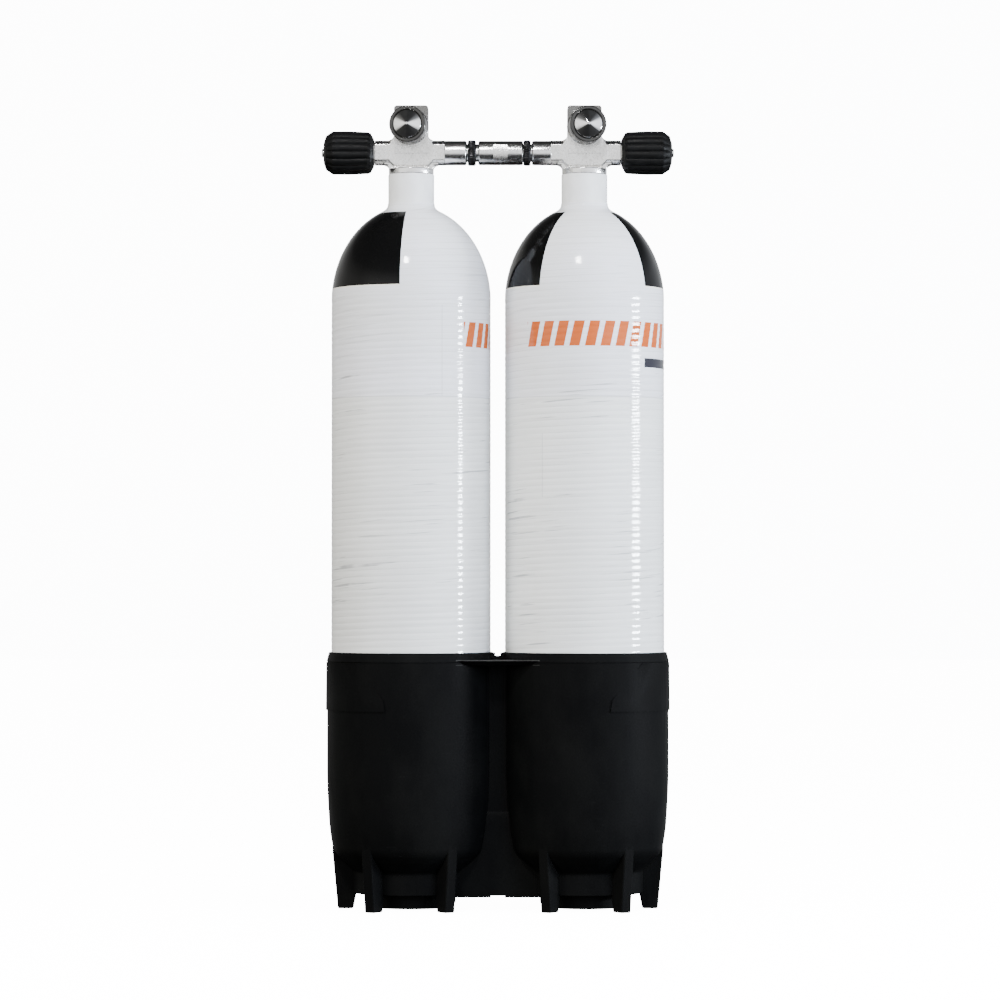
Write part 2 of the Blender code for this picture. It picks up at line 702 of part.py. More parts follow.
def build_handwheel(side_name, axis):
    """A hard core on the spindle's square, in a fluted rubber grip, held by a nut on a spring."""
    core = add_object(f"{side_name}_knob_core", turned([
        (0.0, CORE_START),
        (CORE_RADIUS, CORE_START),
        (CORE_RADIUS, CORE_END - 0.004),
        (CORE_RADIUS - 0.003, CORE_END),
        (SPRING_WELL_RADIUS, CORE_END),
        (SPRING_WELL_RADIUS, SPRING_WELL_START),
        (0.0, SPRING_WELL_START),
    ], ROUND_SIDES), BLACK_PLASTIC, axis)
    drive_hole = square_rod(DRIVE_HALF + GAP, CORE_START - 0.001, SPRING_WELL_START + 0.001)
    combine(core, "DIFFERENCE", [(drive_hole, None)])
    nut_hole = NUT_RADIUS + GAP
    inside_end = CORE_END + GAP
    grip = [
        (GRIP_MOUTH, GRIP_START),
        (GRIP_RADIUS - 0.0019, GRIP_START + 0.0037),
        (GRIP_RADIUS - 0.0009, GRIP_START + 0.006),
        (GRIP_RADIUS, GRIP_START + 0.026),
        (GRIP_RADIUS - 0.0002, GRIP_END - 0.0095),
        (GRIP_RADIUS - 0.0048, GRIP_END - 0.0026),
        (GRIP_RADIUS - 0.0115, GRIP_END - 0.0004),
        (nut_hole, GRIP_END),
        (nut_hole, inside_end),
        (GRIP_BORE - 0.003, inside_end),
        (GRIP_BORE, CORE_END - 0.0038),
        (GRIP_BORE, CORE_START - GAP),
        (GRIP_MOUTH, CORE_START - GAP),
    ]
    fluted = range(1, 6)

    def flute(number, column):
        return FLUTE_DEPTH if number in fluted and column % 3 == 0 else 0.0

    shape = turned(grip, FLUTES * 3, 0.0, flute)
    add_object(f"{side_name}_knob_grip", shape, BLACK_RUBBER, axis)
    spring = helix(SPRING_RADIUS, SPRING_WIRE, SPRING_WELL_START + 0.001, NUT_START - 0.001, SPRING_TURNS)
    add_object(f"{side_name}_knob_spring", spring, SPRING_STEEL, axis)
    add_object(f"{side_name}_knob_nut", turned([
        (0.0, STEM_END + GAP),
        (STEM_RADIUS + GAP, STEM_END + GAP),
        (STEM_RADIUS + GAP, NUT_START),
        (NUT_RADIUS, NUT_START),
        (NUT_RADIUS, NUT_END - 0.0005),
        (NUT_RADIUS - 0.0006, NUT_END),
        (0.0, NUT_END),
    ], SMALL_SIDES), SATIN_NICKEL, axis)


def build_outlet_plug(side_name, axis):
    """The screwed plug in the outlet, with a polished cone for a head, and the O-ring under its nose."""
    head_low = OUTLET_FACE - OUTLET_POCKET_DEPTH + GAP
    outline = [
        (0.0, PLUG_NOSE),
        (PLUG_SHANK_RADIUS - 0.001, PLUG_NOSE),
        (PLUG_SHANK_RADIUS, PLUG_NOSE + 0.001),
        (PLUG_SHANK_RADIUS, head_low),
        (PLUG_HEAD_RADIUS, head_low),
        (PLUG_HEAD_RADIUS, OUTLET_FACE),
        (PLUG_HEAD_RADIUS - 0.0006, OUTLET_FACE + 0.0006),
        (PLUG_TIP_RADIUS, OUTLET_FACE + PLUG_CONE_HEIGHT - 0.0001),
        (0.0, OUTLET_FACE + PLUG_CONE_HEIGHT),
    ]
    add_object(f"{side_name}_outlet_plug", turned(outline, ROUND_SIDES), CHROME, axis)
    seal = seal_ring(OUTLET_SEAL_RADIUS, OUTLET_SEAL_CORD, OUTLET_FLOOR + GAP + OUTLET_SEAL_CORD)
    add_object(f"{side_name}_outlet_oring", seal, BLACK_RUBBER, axis)


def build_valve(side_name, side):
    """Everything on one valve, on empties at the valve's centre and along its outlet."""
    centre = Vector((side * TANK_PITCH / 2, 0, VALVE_HEIGHT))
    out = Vector((side, 0, 0))
    place = add_empty(f"{side_name}_valve_place", centre)
    arm = add_empty(f"{side_name}_arm_axis", centre, out)
    knob = add_empty(f"{side_name}_knob_axis", centre, out)
    seat = add_empty(f"{side_name}_seat_axis", centre, out)
    outlet_centre = centre + Vector((0, 0, OUTLET_HEIGHT - VALVE_HEIGHT))
    outlet = add_empty(f"{side_name}_outlet_axis", outlet_centre, outlet_direction(side))
    build_valve_body(f"{side_name}_valve_body", side, place)
    build_gland(f"{side_name}_gland_nut", arm)
    thrust = washer(SPINDLE_RADIUS + GAP, WASHER_RADIUS, COLLAR_END + GAP, GLAND_START - GAP, SMALL_SIDES)
    add_object(f"{side_name}_thrust_washer", thrust, WHITE_NYLON, arm)
    seal_middle = (GROOVE_START + GROOVE_END) / 2
    seal_cord = (GROOVE_RADIUS - SPINDLE_RADIUS) / 2 - GAP
    spindle_seal = seal_ring((GROOVE_RADIUS + SPINDLE_RADIUS) / 2, seal_cord, seal_middle, SMALL_SIDES)
    add_object(f"{side_name}_spindle_oring", spindle_seal, BLACK_RUBBER, arm)
    build_spindle(f"{side_name}_spindle", knob)
    build_handwheel(side_name, knob)
    build_seat(side_name, seat)
    build_outlet_plug(side_name, outlet)


def build_neck_parts(side_name, x):
    """The seal between the valve's collar and the neck, and the dip tube under the valve."""
    place = add_empty(f"{side_name}_neck_axis", (x, 0, 0))
    pocket_middle = NECK_TOP - SEAL_POCKET_DEPTH / 2
    seal = seal_ring(NECK_SEAL_RADIUS, NECK_SEAL_CORD, pocket_middle)
    add_object(f"{side_name}_neck_oring", seal, BLACK_RUBBER, place)
    tube = washer(TUBE_BORE, TUBE_RADIUS, TUBE_BOTTOM, TUBE_TOP, 12)
    add_object(f"{side_name}_dip_tube", tube, BRASS, place)


def build_crossbar():
    """The turned bar that joins the two valves: a thick middle with spanner flats, and threaded ends."""
    along = add_empty("crossbar_axis", (0, 0, VALVE_HEIGHT), Vector((1, 0, 0)))
    bore = PASSAGE_RADIUS
    shape = turned([
        (bore, -BAR_END),
        (BAR_THREAD_RADIUS, -BAR_END),
        (BAR_THREAD_RADIUS, BAR_LEFT),
        (BAR_RADIUS, BAR_LEFT),
        (BAR_RADIUS, BAR_RIGHT),
        (BAR_THREAD_RADIUS, BAR_RIGHT),
        (BAR_THREAD_RADIUS, BAR_END),
        (bore, BAR_END),
    ], ROUND_SIDES)
    bar = add_object("crossbar", shape, CHROME, along)
    flats = []
    for facing in (-1, 1):
        depth = sorted((facing * BAR_FLAT_DEPTH, facing * BAR_RADIUS * 1.2))
        low = (-BAR_RADIUS * 1.2, depth[0], BAR_FLAT_CENTRE - BAR_FLAT_HALF_LENGTH)
        high = (BAR_RADIUS * 1.2, depth[1], BAR_FLAT_CENTRE + BAR_FLAT_HALF_LENGTH)
        flats.append((box(low, high), None))
    combine(bar, "DIFFERENCE", flats)
    for side_name, side in SIDES:
        start, end = RING_SPANS[side]
        ring = washer(BAR_THREAD_RADIUS + GAP, RING_RADIUS, start, end)
        add_object(f"{side_name}_lock_ring", ring, DARK_NICKEL, along)
        socket_floor = TANK_PITCH / 2 - BAR_SOCKET_FLOOR
        seal = seal_ring(BAR_SEAL_RADIUS, BAR_SEAL_CORD, side * (BAR_END + socket_floor) / 2)
        add_object(f"{side_name}_bar_oring", seal, BLACK_RUBBER, along)


def main():
    clear_scene()
    build_boot()
    for side_name, side in SIDES:
        x = side * TANK_PITCH / 2
        build_overwrap(f"{side_name}_overwrap", x)
        build_liner(f"{side_name}_liner", x)
        build_neck_parts(side_name, x)
        build_valve(side_name, side)
    build_crossbar()


main()
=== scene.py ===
"""The finished look of a pair of air cylinders with a manifold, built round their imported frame.

Metres, +Z up, front at -Y. A valve's sizes start at its own centre: arm lengths run along X, towards its
handwheel or towards the manifold bar, and outlet depths run along the outlet's own axis.
"""

import json
import math

import bmesh
import bpy
import numpy as np
from mathutils import Matrix, Vector, noise


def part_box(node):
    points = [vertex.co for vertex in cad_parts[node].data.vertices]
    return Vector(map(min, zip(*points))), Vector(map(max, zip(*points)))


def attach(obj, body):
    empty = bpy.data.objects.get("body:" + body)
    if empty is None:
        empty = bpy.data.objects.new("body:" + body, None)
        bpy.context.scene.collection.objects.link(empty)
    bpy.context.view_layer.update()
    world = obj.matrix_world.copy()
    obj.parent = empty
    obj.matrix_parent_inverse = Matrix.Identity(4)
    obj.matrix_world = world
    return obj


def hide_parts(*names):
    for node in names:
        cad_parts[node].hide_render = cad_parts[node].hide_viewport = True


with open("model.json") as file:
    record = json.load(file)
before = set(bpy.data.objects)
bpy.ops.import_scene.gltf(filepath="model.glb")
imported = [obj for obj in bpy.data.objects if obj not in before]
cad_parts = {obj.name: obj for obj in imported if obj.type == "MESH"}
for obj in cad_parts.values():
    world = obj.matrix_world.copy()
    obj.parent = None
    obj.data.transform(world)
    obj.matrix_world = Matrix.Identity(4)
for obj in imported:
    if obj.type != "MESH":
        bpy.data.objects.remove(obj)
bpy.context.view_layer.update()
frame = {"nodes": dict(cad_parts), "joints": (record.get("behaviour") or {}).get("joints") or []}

SIDES = (("left", -1), ("right", 1))
MAIN_BODY = "twin_set"
JOINTS = {joint["name"]: joint for joint in frame["joints"]}
VALVE = {name: Vector(JOINTS[f"{name}_knob_turn"]["pos_m"]) for name, _ in SIDES}
OUTLET = {name: Vector(JOINTS[f"{name}_plug_turn"]["pos_m"]) for name, _ in SIDES}
OUTLET_WAY = {name: Vector(JOINTS[f"{name}_plug_turn"]["axis"]).normalized() for name, _ in SIDES}

# Cylinder surface
WINDING_PITCH = 0.0064
WINDING_STARTS = 3
WINDING_LOW = 0.24
WINDING_OVERRUN = 0.008
BAND_CROWN = 0.00033
WALL_ROW = 0.0011
BASE_DOME_TOP = 0.100
SHOULDER_START = 0.6056
SHOULDER_HEIGHT = 0.097
CROWN_RADIUS = 0.030
WRAP_THICKNESS = 0.006
NECK_RADIUS = 0.023
BLACK_LOW = 0.618
BLACK_HIGH = 0.6935
FILM_LOW = 0.508
LINER_WALL = 0.003
LINER_BORE = 0.0128
LINER_SEAT = 0.0165

# Print on the cylinders: heights, then stroke sizes, then the dark bar's length in degrees
STRIPES_LOW = 0.5575
STRIPES_HIGH = 0.5822
STROKE_PITCH = 0.0155
STROKE_SHARE = 0.66
STROKE_LEAN = 0.22
DARK_BAR_LOW = 0.5375
DARK_BAR_HIGH = 0.5465
DARK_BAR_SPAN = 62
BLACK_EDGE = 0.0012

# Studio: levels are world strengths, and each stop is (position, level)
STUDIO_LEVEL = 2.2
BACKDROP_LEVEL = 14.0
FLOOR_GLOW = 14.0
UPWARD_STOPS = (
    (0.0, 0.01), (0.34, 0.03), (0.43, 0.80), (0.50, 1.0),
    (0.64, 1.0), (0.74, 0.14), (0.84, 0.03), (1.0, 0.02),
)
AROUND_STOPS = (
    (0.0, 0.74), (0.07, 0.76), (0.14, 1.0), (0.33, 1.0), (0.45, 0.55), (0.62, 0.40), (1.0, 0.42),
)
WARM_SIDE = (1.0, 0.985, 0.93)
COOL_SIDE = (0.88, 0.92, 1.0)
CAMERA_PLACE = (0.0022, -4.0, 0.3306)
CAMERA_PITCH = 91.10
CAMERA_LENS = 144

# Valves and manifold bar
ARM_RADIUS = 0.0123
ARM_FLAT_DEPTH = 0.0097
FORGED_ARM_LENGTH = 0.034
KNOB_ARM_LENGTH = 0.0365
BAR_ARM_LENGTH = {"left": 0.0557, "right": 0.0526}
BAR_SHOULDERS = (-0.0195, 0.0254)
BAR_FLAT = (-0.0046, 0.0098)
BAR_BORE = 0.0093
BAR_RADIUS = 0.0122
BAR_THREAD_RADIUS = 0.0090
BAR_FLAT_DEPTH = 0.0095
COLLAR_RADIUS = 0.0225
COLLAR_TOP = -0.0160
BLOCK_HALF_WIDTH = 0.01725
FOOT_HALF_WIDTH = 0.0222
FOOT_HALF_DEPTH = 0.0078
FILLET = 0.005
FORGING_VOXEL = 0.00045
OUTLET_RADIUS = 0.0182
OUTLET_FACE = 0.033
POCKET_RADIUS = 0.0142
POCKET_DEPTH = 0.0025
PLUG_RADIUS = 0.0139
PLUG_SHANK_RADIUS = 0.0112

# Grip
GRIP_RADIUS = 0.0219
GRIP_BORE = 0.0131
GRIP_CORE_RADIUS = 0.0154
GRIP_CORE_END = 0.0443
FLUTES = 16
FLUTE_INNER = 0.0165

# Boot
CUP_RADIUS = 0.0838
CUP_TOP = 0.2556
CUP_HOLLOW_TOP = 0.266
DECK_LOW = 0.2436
DECK_HIGH = 0.2485
PANEL_TOP = 0.2455
PANEL_ROWS = ((0.198, 16.3), (0.2095, 17.6), (PANEL_TOP, 41.0))
LEG_ANGLES = (-147, -33, 33, 147)
LEG_HALF_WIDTH = 0.00575


# ---------------------------------------------------------------- meshes

def make_object(name, vertices, faces, place=None, sharp=40.0):
    mesh = bpy.data.meshes.new(name)
    mesh.from_pydata([tuple(vertex) for vertex in vertices], [], faces)
    shape = bmesh.new()
    shape.from_mesh(mesh)
    bmesh.ops.recalc_face_normals(shape, faces=shape.faces)
    shape.to_mesh(mesh)
    shape.free()
    mesh.shade_smooth()
    mesh.set_sharp_from_angle(angle=math.radians(sharp))
    thing = bpy.data.objects.new(name, mesh)
    bpy.context.scene.collection.objects.link(thing)
    if place:
        thing.matrix_world = place
    return thing


def rounded(points, steps=5):
    """Rounds the corners of an outline of (radius, height, corner) points by their corner radius."""
    result = []
    for number, (x, y, corner) in enumerate(points):
        if corner == 0.0 or number in (0, len(points) - 1):
            result.append((x, y))
            continue
        here = Vector((x, y, 0.0))
        before = (Vector((*points[number - 1][:2], 0.0)) - here).normalized()
        after = (Vector((*points[number + 1][:2], 0.0)) - here).normalized()
        half = before.angle(after) / 2
        centre = here + (before + after).normalized() * (corner / math.sin(half))
        start = here + before * (corner / math.tan(half)) - centre
        end = here + after * (corner / math.tan(half)) - centre
        for step in range(steps + 1):
            point = centre + start.slerp(end, step / steps).normalized() * corner
            result.append((point.x, point.y))
    return result


def turned_mesh(outline, sides, shift=None):
    """Vertices and faces of a closed outline turned about Z.

    shift(row, angle, radius, height) gives what is added to the radius at each vertex.
    """
    vertices = []
    rings = []
    for row, (radius, height) in enumerate(outline):
        if radius <= 0.0:
            rings.append([len(vertices)])
            vertices.append((0.0, 0.0, height))
            continue
        ring = []
        for side in range(sides):
            angle = math.tau * side / sides
            reach = radius + (shift(row, angle, radius, height) if shift else 0.0)
            ring.append(len(vertices))
            vertices.append((reach * math.cos(angle), reach * math.sin(angle), height))
        rings.append(ring)
    faces = []
    for ring, after in zip(rings, rings[1:] + rings[:1]):
        if len(ring) == 1 and len(after) == 1:
            continue
        for side in range(sides):
            beside = (side + 1) % sides
            corners = [ring[side % len(ring)], ring[beside % len(ring)]]
            corners += [after[beside % len(after)], after[side % len(after)]]
            faces.append(list(dict.fromkeys(corners)))
    return vertices, faces


def turned(name, outline, sides=96, place=None, shift=None, sharp=40.0):
    vertices, faces = turned_mesh(outline, sides, shift)
    return make_object(name, vertices, faces, place, sharp)


def rod_part(radius, start, end, place, sides=96, half_depth=None):
    """A rod along local Z as (vertices, faces), pressed flat front and back if half_depth is given."""
    vertices, faces = turned_mesh([(0, start), (radius, start), (radius, end), (0, end)], sides)
    if half_depth:
        vertices = [(x, max(-half_depth, min(half_depth, y)), z) for x, y, z in vertices]
    return [place @ Vector(vertex) for vertex in vertices], faces


def slab_part(outline, half_depth):
    """An outline of (x, z) points extruded along Y both ways, as (vertices, faces)."""
    count = len(outline)
    vertices = [Vector((x, -half_depth, z)) for x, z in outline]
    vertices += [Vector((x, half_depth, z)) for x, z in outline]
    faces = [list(range(count)), list(range(2 * count - 1, count - 1, -1))]
    for number in range(count):
        after = (number + 1) % count
        faces.append([number, count + number, count + after, after])
    return vertices, faces


def join_parts(name, parts, place=None, sharp=40.0):
    vertices = []
    faces = []
    for part_vertices, part_faces in parts:
        start = len(vertices)
        vertices += [tuple(vertex) for vertex in part_vertices]
        faces += [[start + corner for corner in face] for face in part_faces]
    return make_object(name, vertices, faces, place, sharp)


def settle(thing, sharp=40.0):
    """Applies an object's modifiers to its mesh."""
    evaluated = thing.evaluated_get(bpy.context.evaluated_depsgraph_get())
    mesh = bpy.data.meshes.new_from_object(evaluated)
    thing.modifiers.clear()
    thing.data = mesh
    mesh.shade_smooth()
    mesh.set_sharp_from_angle(angle=math.radians(sharp))


def combine(thing, operation, pieces):
    """Joins closed shapes to an object or cuts them out of it, and removes them."""
    group = bpy.data.collections.new("pieces")
    for piece in pieces:
        group.objects.link(piece)
    modifier = thing.modifiers.new("combine", "BOOLEAN")
    modifier.operation = operation
    modifier.solver = "EXACT"
    modifier.operand_type = "COLLECTION"
    modifier.collection = group
    settle(thing)
    for piece in pieces:
        bpy.data.objects.remove(piece)
    bpy.data.collections.remove(group)


def axis_place(origin, way):
    """A matrix at a point with local Z along a direction."""
    turn = Vector((0, 0, 1)).rotation_difference(way).to_matrix().to_4x4()
    return Matrix.Translation(origin) @ turn


def arc(centre, radius, start, end, steps):
    """Points on a circle's arc between two angles in degrees, both ends included."""
    points = []
    for step in range(steps + 1):
        angle = math.radians(start + (end - start) * step / steps)
        points.append((centre[0] + radius * math.cos(angle), centre[1] + radius * math.sin(angle)))
    return points


def dress(thing, material, body=MAIN_BODY, stands_for=()):
    thing.data.materials.clear()
    thing.data.materials.append(material)
    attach(thing, body)
    if stands_for:
        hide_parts(*stands_for)


# ---------------------------------------------------------------- materials

class Graph:
    """A node tree that is built step by step, of a material or of the world."""

    def __init__(self, tree, shader, coordinates):
        self.nodes = tree.nodes
        self.links = tree.links
        self.shader = self.nodes[shader]
        self.where = self.nodes.new("ShaderNodeTexCoord").outputs[coordinates]

    def feed(self, socket, value):
        if isinstance(value, bpy.types.NodeSocket):
            self.links.new(value, socket)
        else:
            socket.default_value = value

    def set(self, name, value):
        self.feed(self.shader.inputs[name], value)

    def math(self, operation, *values):
        node = self.nodes.new("ShaderNodeMath")
        node.operation = operation
        for number, value in enumerate(values):
            self.feed(node.inputs[number], value)
        return node.outputs[0]

    def times(self, first, second):
        return self.math("MULTIPLY", first, second)

    def plus(self, first, second):
        return self.math("ADD", first, second)

    def minus(self, first, second):
        return self.math("SUBTRACT", first, second)

    def mix(self, factor, first, second):
        node = self.nodes.new("ShaderNodeMix")
        node.data_type = "RGBA"
        self.feed(node.inputs[0], factor)
        self.feed(node.inputs[6], (*first, 1.0) if isinstance(first, tuple) else first)
        self.feed(node.inputs[7], (*second, 1.0) if isinstance(second, tuple) else second)
        return node.outputs[2]

    def axes(self):
        node = self.nodes.new("ShaderNodeSeparateXYZ")
        self.feed(node.inputs[0], self.where)
        return node.outputs[0], node.outputs[1], node.outputs[2]


class Finish(Graph):
    """A Principled material built from object coordinates."""

    def __init__(self, name, colour, roughness, metallic=0.0, shift=0.0):
        self.shift = shift
        self.material = bpy.data.materials.new(name)
        self.material.use_nodes = True
        super().__init__(self.material.node_tree, "Principled BSDF", "Object")
        self.set("Base Color", (*colour, 1.0))
        self.set("Roughness", roughness)
        self.set("Metallic", metallic)

    def between(self, value, low, high):
        """1 where the value lies between two limits, else 0."""
        above = self.math("GREATER_THAN", value, low)
        return self.times(above, self.math("LESS_THAN", value, high))

    def scaled(self, x, y, z):
        node = self.nodes.new("ShaderNodeVectorMath")
        node.operation = "MULTIPLY_ADD"
        self.feed(node.inputs[0], self.where)
        node.inputs[1].default_value = (x, y, z)
        node.inputs[2].default_value = (self.shift, self.shift, self.shift)
        return node.outputs[0]

    def noise(self, where, detail=3.0, roughness=0.5):
        """Noise at a vector socket, or at object coordinates times a number or one number for each axis."""
        if isinstance(where, int):
            where = (where, where, where)
        if isinstance(where, tuple):
            where = self.scaled(*where)
        node = self.nodes.new("ShaderNodeTexNoise")
        self.feed(node.inputs["Vector"], where)
        node.inputs["Scale"].default_value = 1.0
        node.inputs["Detail"].default_value = detail
        node.inputs["Roughness"].default_value = roughness
        return node.outputs["Fac"]

    def remap(self, value, low, high, to_low=0.0, to_high=1.0):
        node = self.nodes.new("ShaderNodeMapRange")
        self.feed(node.inputs["Value"], value)
        limits = {"From Min": low, "From Max": high, "To Min": to_low, "To Max": to_high}
        for name, number in limits.items():
            node.inputs[name].default_value = number
        return node.outputs["Result"]

    def bump(self, height, distance, strength=1.0, under=None):
        node = self.nodes.new("ShaderNodeBump")
        node.inputs["Distance"].default_value = distance
        node.inputs["Strength"].default_value = strength
        self.feed(node.inputs["Height"], height)
        if under:
            self.feed(node.inputs["Normal"], under)
        return node.outputs["Normal"]


def paint_finish(name, radius, white_quarter, seams, band_from, mark_from):
    """White gloss paint over hoop winding, with a quartered black shoulder and printed orange stripes.

    Angles run round the cylinder in degrees from the front, positive towards +X. white_quarter is where a
    white quarter starts and how far it goes, seams are (angle, low, high) edges of the clear film, and the
    orange stripes and the dark bar start at band_from and mark_from.
    """
    quarter_turn, white_span = white_quarter
    finish = Finish(name, (0.80, 0.80, 0.79), 0.3, shift=quarter_turn)
    x, y, z = finish.axes()
    angle = finish.math("ARCTAN2", x, finish.times(y, -1.0))
    along = finish.times(angle, radius)

    turns = finish.math("DIVIDE", angle, math.tau / WINDING_STARTS)
    phase = finish.math("FRACT", finish.minus(finish.math("DIVIDE", z, WINDING_PITCH), turns))
    # edge and cloud pick out darker lines in the winding grooves, in patches: partly dirt, partly painted
    # shade in the grooves.
    edge = finish.math("ABSOLUTE", finish.minus(phase, 0.5))
    cloud = finish.noise((14, 14, 22), 4.0)
    groove = finish.times(finish.remap(edge, 0.40, 0.5), finish.remap(cloud, 0.38, 0.62))

    fibre = finish.noise((9, 9, 950), 4.0, 0.6)
    coarse = finish.noise((16, 16, 260))
    tilt = finish.minus(z, finish.times(along, 0.075))
    combine = finish.nodes.new("ShaderNodeCombineXYZ")
    finish.feed(combine.inputs[0], finish.times(x, 11.0))
    finish.feed(combine.inputs[1], finish.times(y, 11.0))
    finish.feed(combine.inputs[2], finish.math("MULTIPLY_ADD", tilt, 420.0, float(quarter_turn)))
    streak = finish.noise(combine.outputs[0], 2.0, 0.5)
    patches = finish.noise((17, 17, 13))
    scratch = finish.times(finish.remap(streak, 0.63, 0.68), finish.remap(patches, 0.46, 0.56))

    grime = finish.noise((6, 6, 9), 5.0, 0.6)
    under_film = finish.remap(z, FILM_LOW - 0.0005, FILM_LOW + 0.0005)
    clean = finish.mix(under_film, (0.84, 0.84, 0.81), (0.83, 0.83, 0.87))
    white = finish.mix(finish.remap(grime, 0.35, 0.75), clean, (0.75, 0.75, 0.73))
    white = finish.mix(finish.remap(fibre, 0.45, 0.75, 0.0, 0.42), white, (0.58, 0.58, 0.57))
    # Painted shade and dirt in the winding grooves.
    white = finish.mix(finish.times(groove, 0.42), white, (0.40, 0.40, 0.39))
    below = finish.math("LESS_THAN", z, FILM_LOW + 0.03)
    scratch = finish.times(scratch, finish.remap(below, 0, 1, 0.25, 0.75))
    white = finish.mix(scratch, white, (0.30, 0.30, 0.31))

    for seam_angle, low, high in seams:
        off = finish.math("ABSOLUTE", finish.minus(along, math.radians(seam_angle) * radius))
        line = finish.remap(off, 0.0003, 0.0007, 1.0, 0.0)
        line = finish.times(line, finish.between(z, low, high))
        white = finish.mix(finish.times(line, 0.45), white, (0.45, 0.45, 0.46))
    film_edge = finish.math("ABSOLUTE", finish.minus(z, FILM_LOW))
    line = finish.remap(film_edge, 0.0003, 0.0008, 1.0, 0.0)
    white = finish.mix(finish.times(line, 0.55), white, (0.45, 0.45, 0.46))

    lean = finish.minus(along, finish.times(z, STROKE_LEAN))
    stroke = finish.math("FRACT", finish.math("DIVIDE", lean, STROKE_PITCH))
    strokes = finish.math("LESS_THAN", stroke, STROKE_SHARE)
    in_band = finish.between(z, STRIPES_LOW, STRIPES_HIGH)
    after = finish.math("GREATER_THAN", angle, math.radians(band_from))
    orange = finish.times(finish.times(strokes, in_band), after)
    colour = finish.mix(orange, white, (0.50, 0.085, 0.004))
    in_mark = finish.between(z, DARK_BAR_LOW, DARK_BAR_HIGH)
    after = finish.between(angle, math.radians(mark_from), math.radians(mark_from + DARK_BAR_SPAN))
    colour = finish.mix(finish.times(in_mark, after), colour, (0.012, 0.012, 0.02))

    turned_back = finish.minus(angle, math.radians(quarter_turn))
    quarter = finish.math("FLOORED_MODULO", turned_back, math.pi)
    dark_quarter = finish.math("GREATER_THAN", quarter, math.radians(white_span))
    dark = finish.times(dark_quarter, finish.between(z, BLACK_LOW, BLACK_HIGH))
    rim = finish.times(dark_quarter, finish.between(z, BLACK_LOW - BLACK_EDGE, BLACK_LOW))
    colour = finish.mix(rim, colour, (0.86, 0.82, 0.72))
    speck = finish.remap(finish.noise(900, 2.0), 0.66, 0.74, 0.0, 0.25)
    black = finish.mix(speck, (0.003, 0.003, 0.003), (0.018, 0.018, 0.018))
    finish.set("Base Color", finish.mix(dark, colour, black))
    finish.set("Specular IOR Level", finish.remap(dark, 0.0, 1.0, 0.5, 0.16))

    smear = finish.noise((20, 20, 45), 4.0)
    satin = finish.remap(smear, 0.3, 0.7, 0.06, 0.14)
    gloss = finish.remap(smear, 0.3, 0.7, 0.07, 0.14)
    shoulder = finish.math("GREATER_THAN", z, SHOULDER_START + 0.004)
    shine = finish.nodes.new("ShaderNodeMix")
    finish.feed(shine.inputs[0], shoulder)
    finish.feed(shine.inputs[2], satin)
    finish.feed(shine.inputs[3], gloss)
    finish.set("Roughness", shine.outputs[0])

    on_wall = finish.remap(z, SHOULDER_START, SHOULDER_START + 0.012, 1.0, 0.12)
    height = finish.plus(finish.times(fibre, 0.25), coarse)
    height = finish.times(height, on_wall)
    normal = finish.bump(height, 0.00006, 1.0)
    orange_peel = finish.noise(260, 2.0)
    finish.set("Normal", finish.bump(orange_peel, 0.00003, 0.5, normal))
    return finish.material


def gloss_white_finish(name):
    finish = Finish(name, (0.80, 0.80, 0.80), 0.2)
    grime = finish.noise((60, 60, 40), 5.0)
    dirt = finish.remap(grime, 0.4, 0.8)
    finish.set("Base Color", finish.mix(dirt, (0.81, 0.81, 0.80), (0.66, 0.66, 0.65)))
    finish.set("Roughness", finish.remap(grime, 0.3, 0.7, 0.14, 0.28))
    finish.set("Normal", finish.bump(finish.noise(300), 0.00005, 0.6))
    return finish.material


def forged_finish(name):
    """Bead-blasted nickel plate over a forging: fine pits, a soft dapple, a few worn spots, and painted
    shade on the outlet block above the arms.
    """
    finish = Finish(name, (0.66, 0.65, 0.64), 0.34, 1.0)
    pits = finish.noise(2300, 3.0, 0.6)
    dapple = finish.noise(420, 4.0, 0.65)
    cloud = finish.noise(70)
    tone = finish.mix(finish.remap(dapple, 0.35, 0.68), (0.78, 0.77, 0.755), (1.0, 0.99, 0.98))
    tone = finish.mix(finish.remap(cloud, 0.45, 0.7, 0.0, 0.35), tone, (0.62, 0.61, 0.59))
    # Painted shade and dark reflection: the forging turns near black above the arms, on the outlet block
    # recessed behind the outlet ring.
    painted_block_shade = finish.remap(finish.axes()[2], 0.013, 0.024, 0.0, 0.9)
    finish.set("Base Color", finish.mix(painted_block_shade, tone, (0.12, 0.118, 0.113)))
    finish.set("Roughness", finish.remap(dapple, 0.3, 0.7, 0.34, 0.20))
    normal = finish.bump(dapple, 0.00028, 0.7)
    finish.set("Normal", finish.bump(pits, 0.00009, 0.6, normal))
    return finish.material


def turned_finish(name, colour, roughness, ring_pitch=0.00035, rings=0.5):
    """Plate over lathe-turned metal: tool rings about local Z, a slight waver, and smudges."""
    finish = Finish(name, colour, roughness, 1.0)
    x, y, z = finish.axes()
    squares = finish.plus(finish.math("POWER", x, 2.0), finish.math("POWER", y, 2.0))
    reach = finish.math("SQRT", squares)
    travel = finish.math("DIVIDE", finish.plus(reach, z), ring_pitch)
    wave = finish.math("SINE", finish.times(travel, math.tau))
    wobble = finish.noise((180, 180, 1500), 2.0)
    smudge = finish.noise(110, 5.0, 0.6)
    dim = tuple(0.72 * part for part in colour)
    finish.set("Base Color", finish.mix(finish.remap(smudge, 0.45, 0.75), colour, dim))
    finish.set("Roughness", finish.remap(smudge, 0.35, 0.7, roughness * 0.85, roughness * 1.35))
    height = finish.plus(finish.times(wave, 0.25), wobble)
    finish.set("Normal", finish.bump(height, 0.00004, rings))
    return finish.material


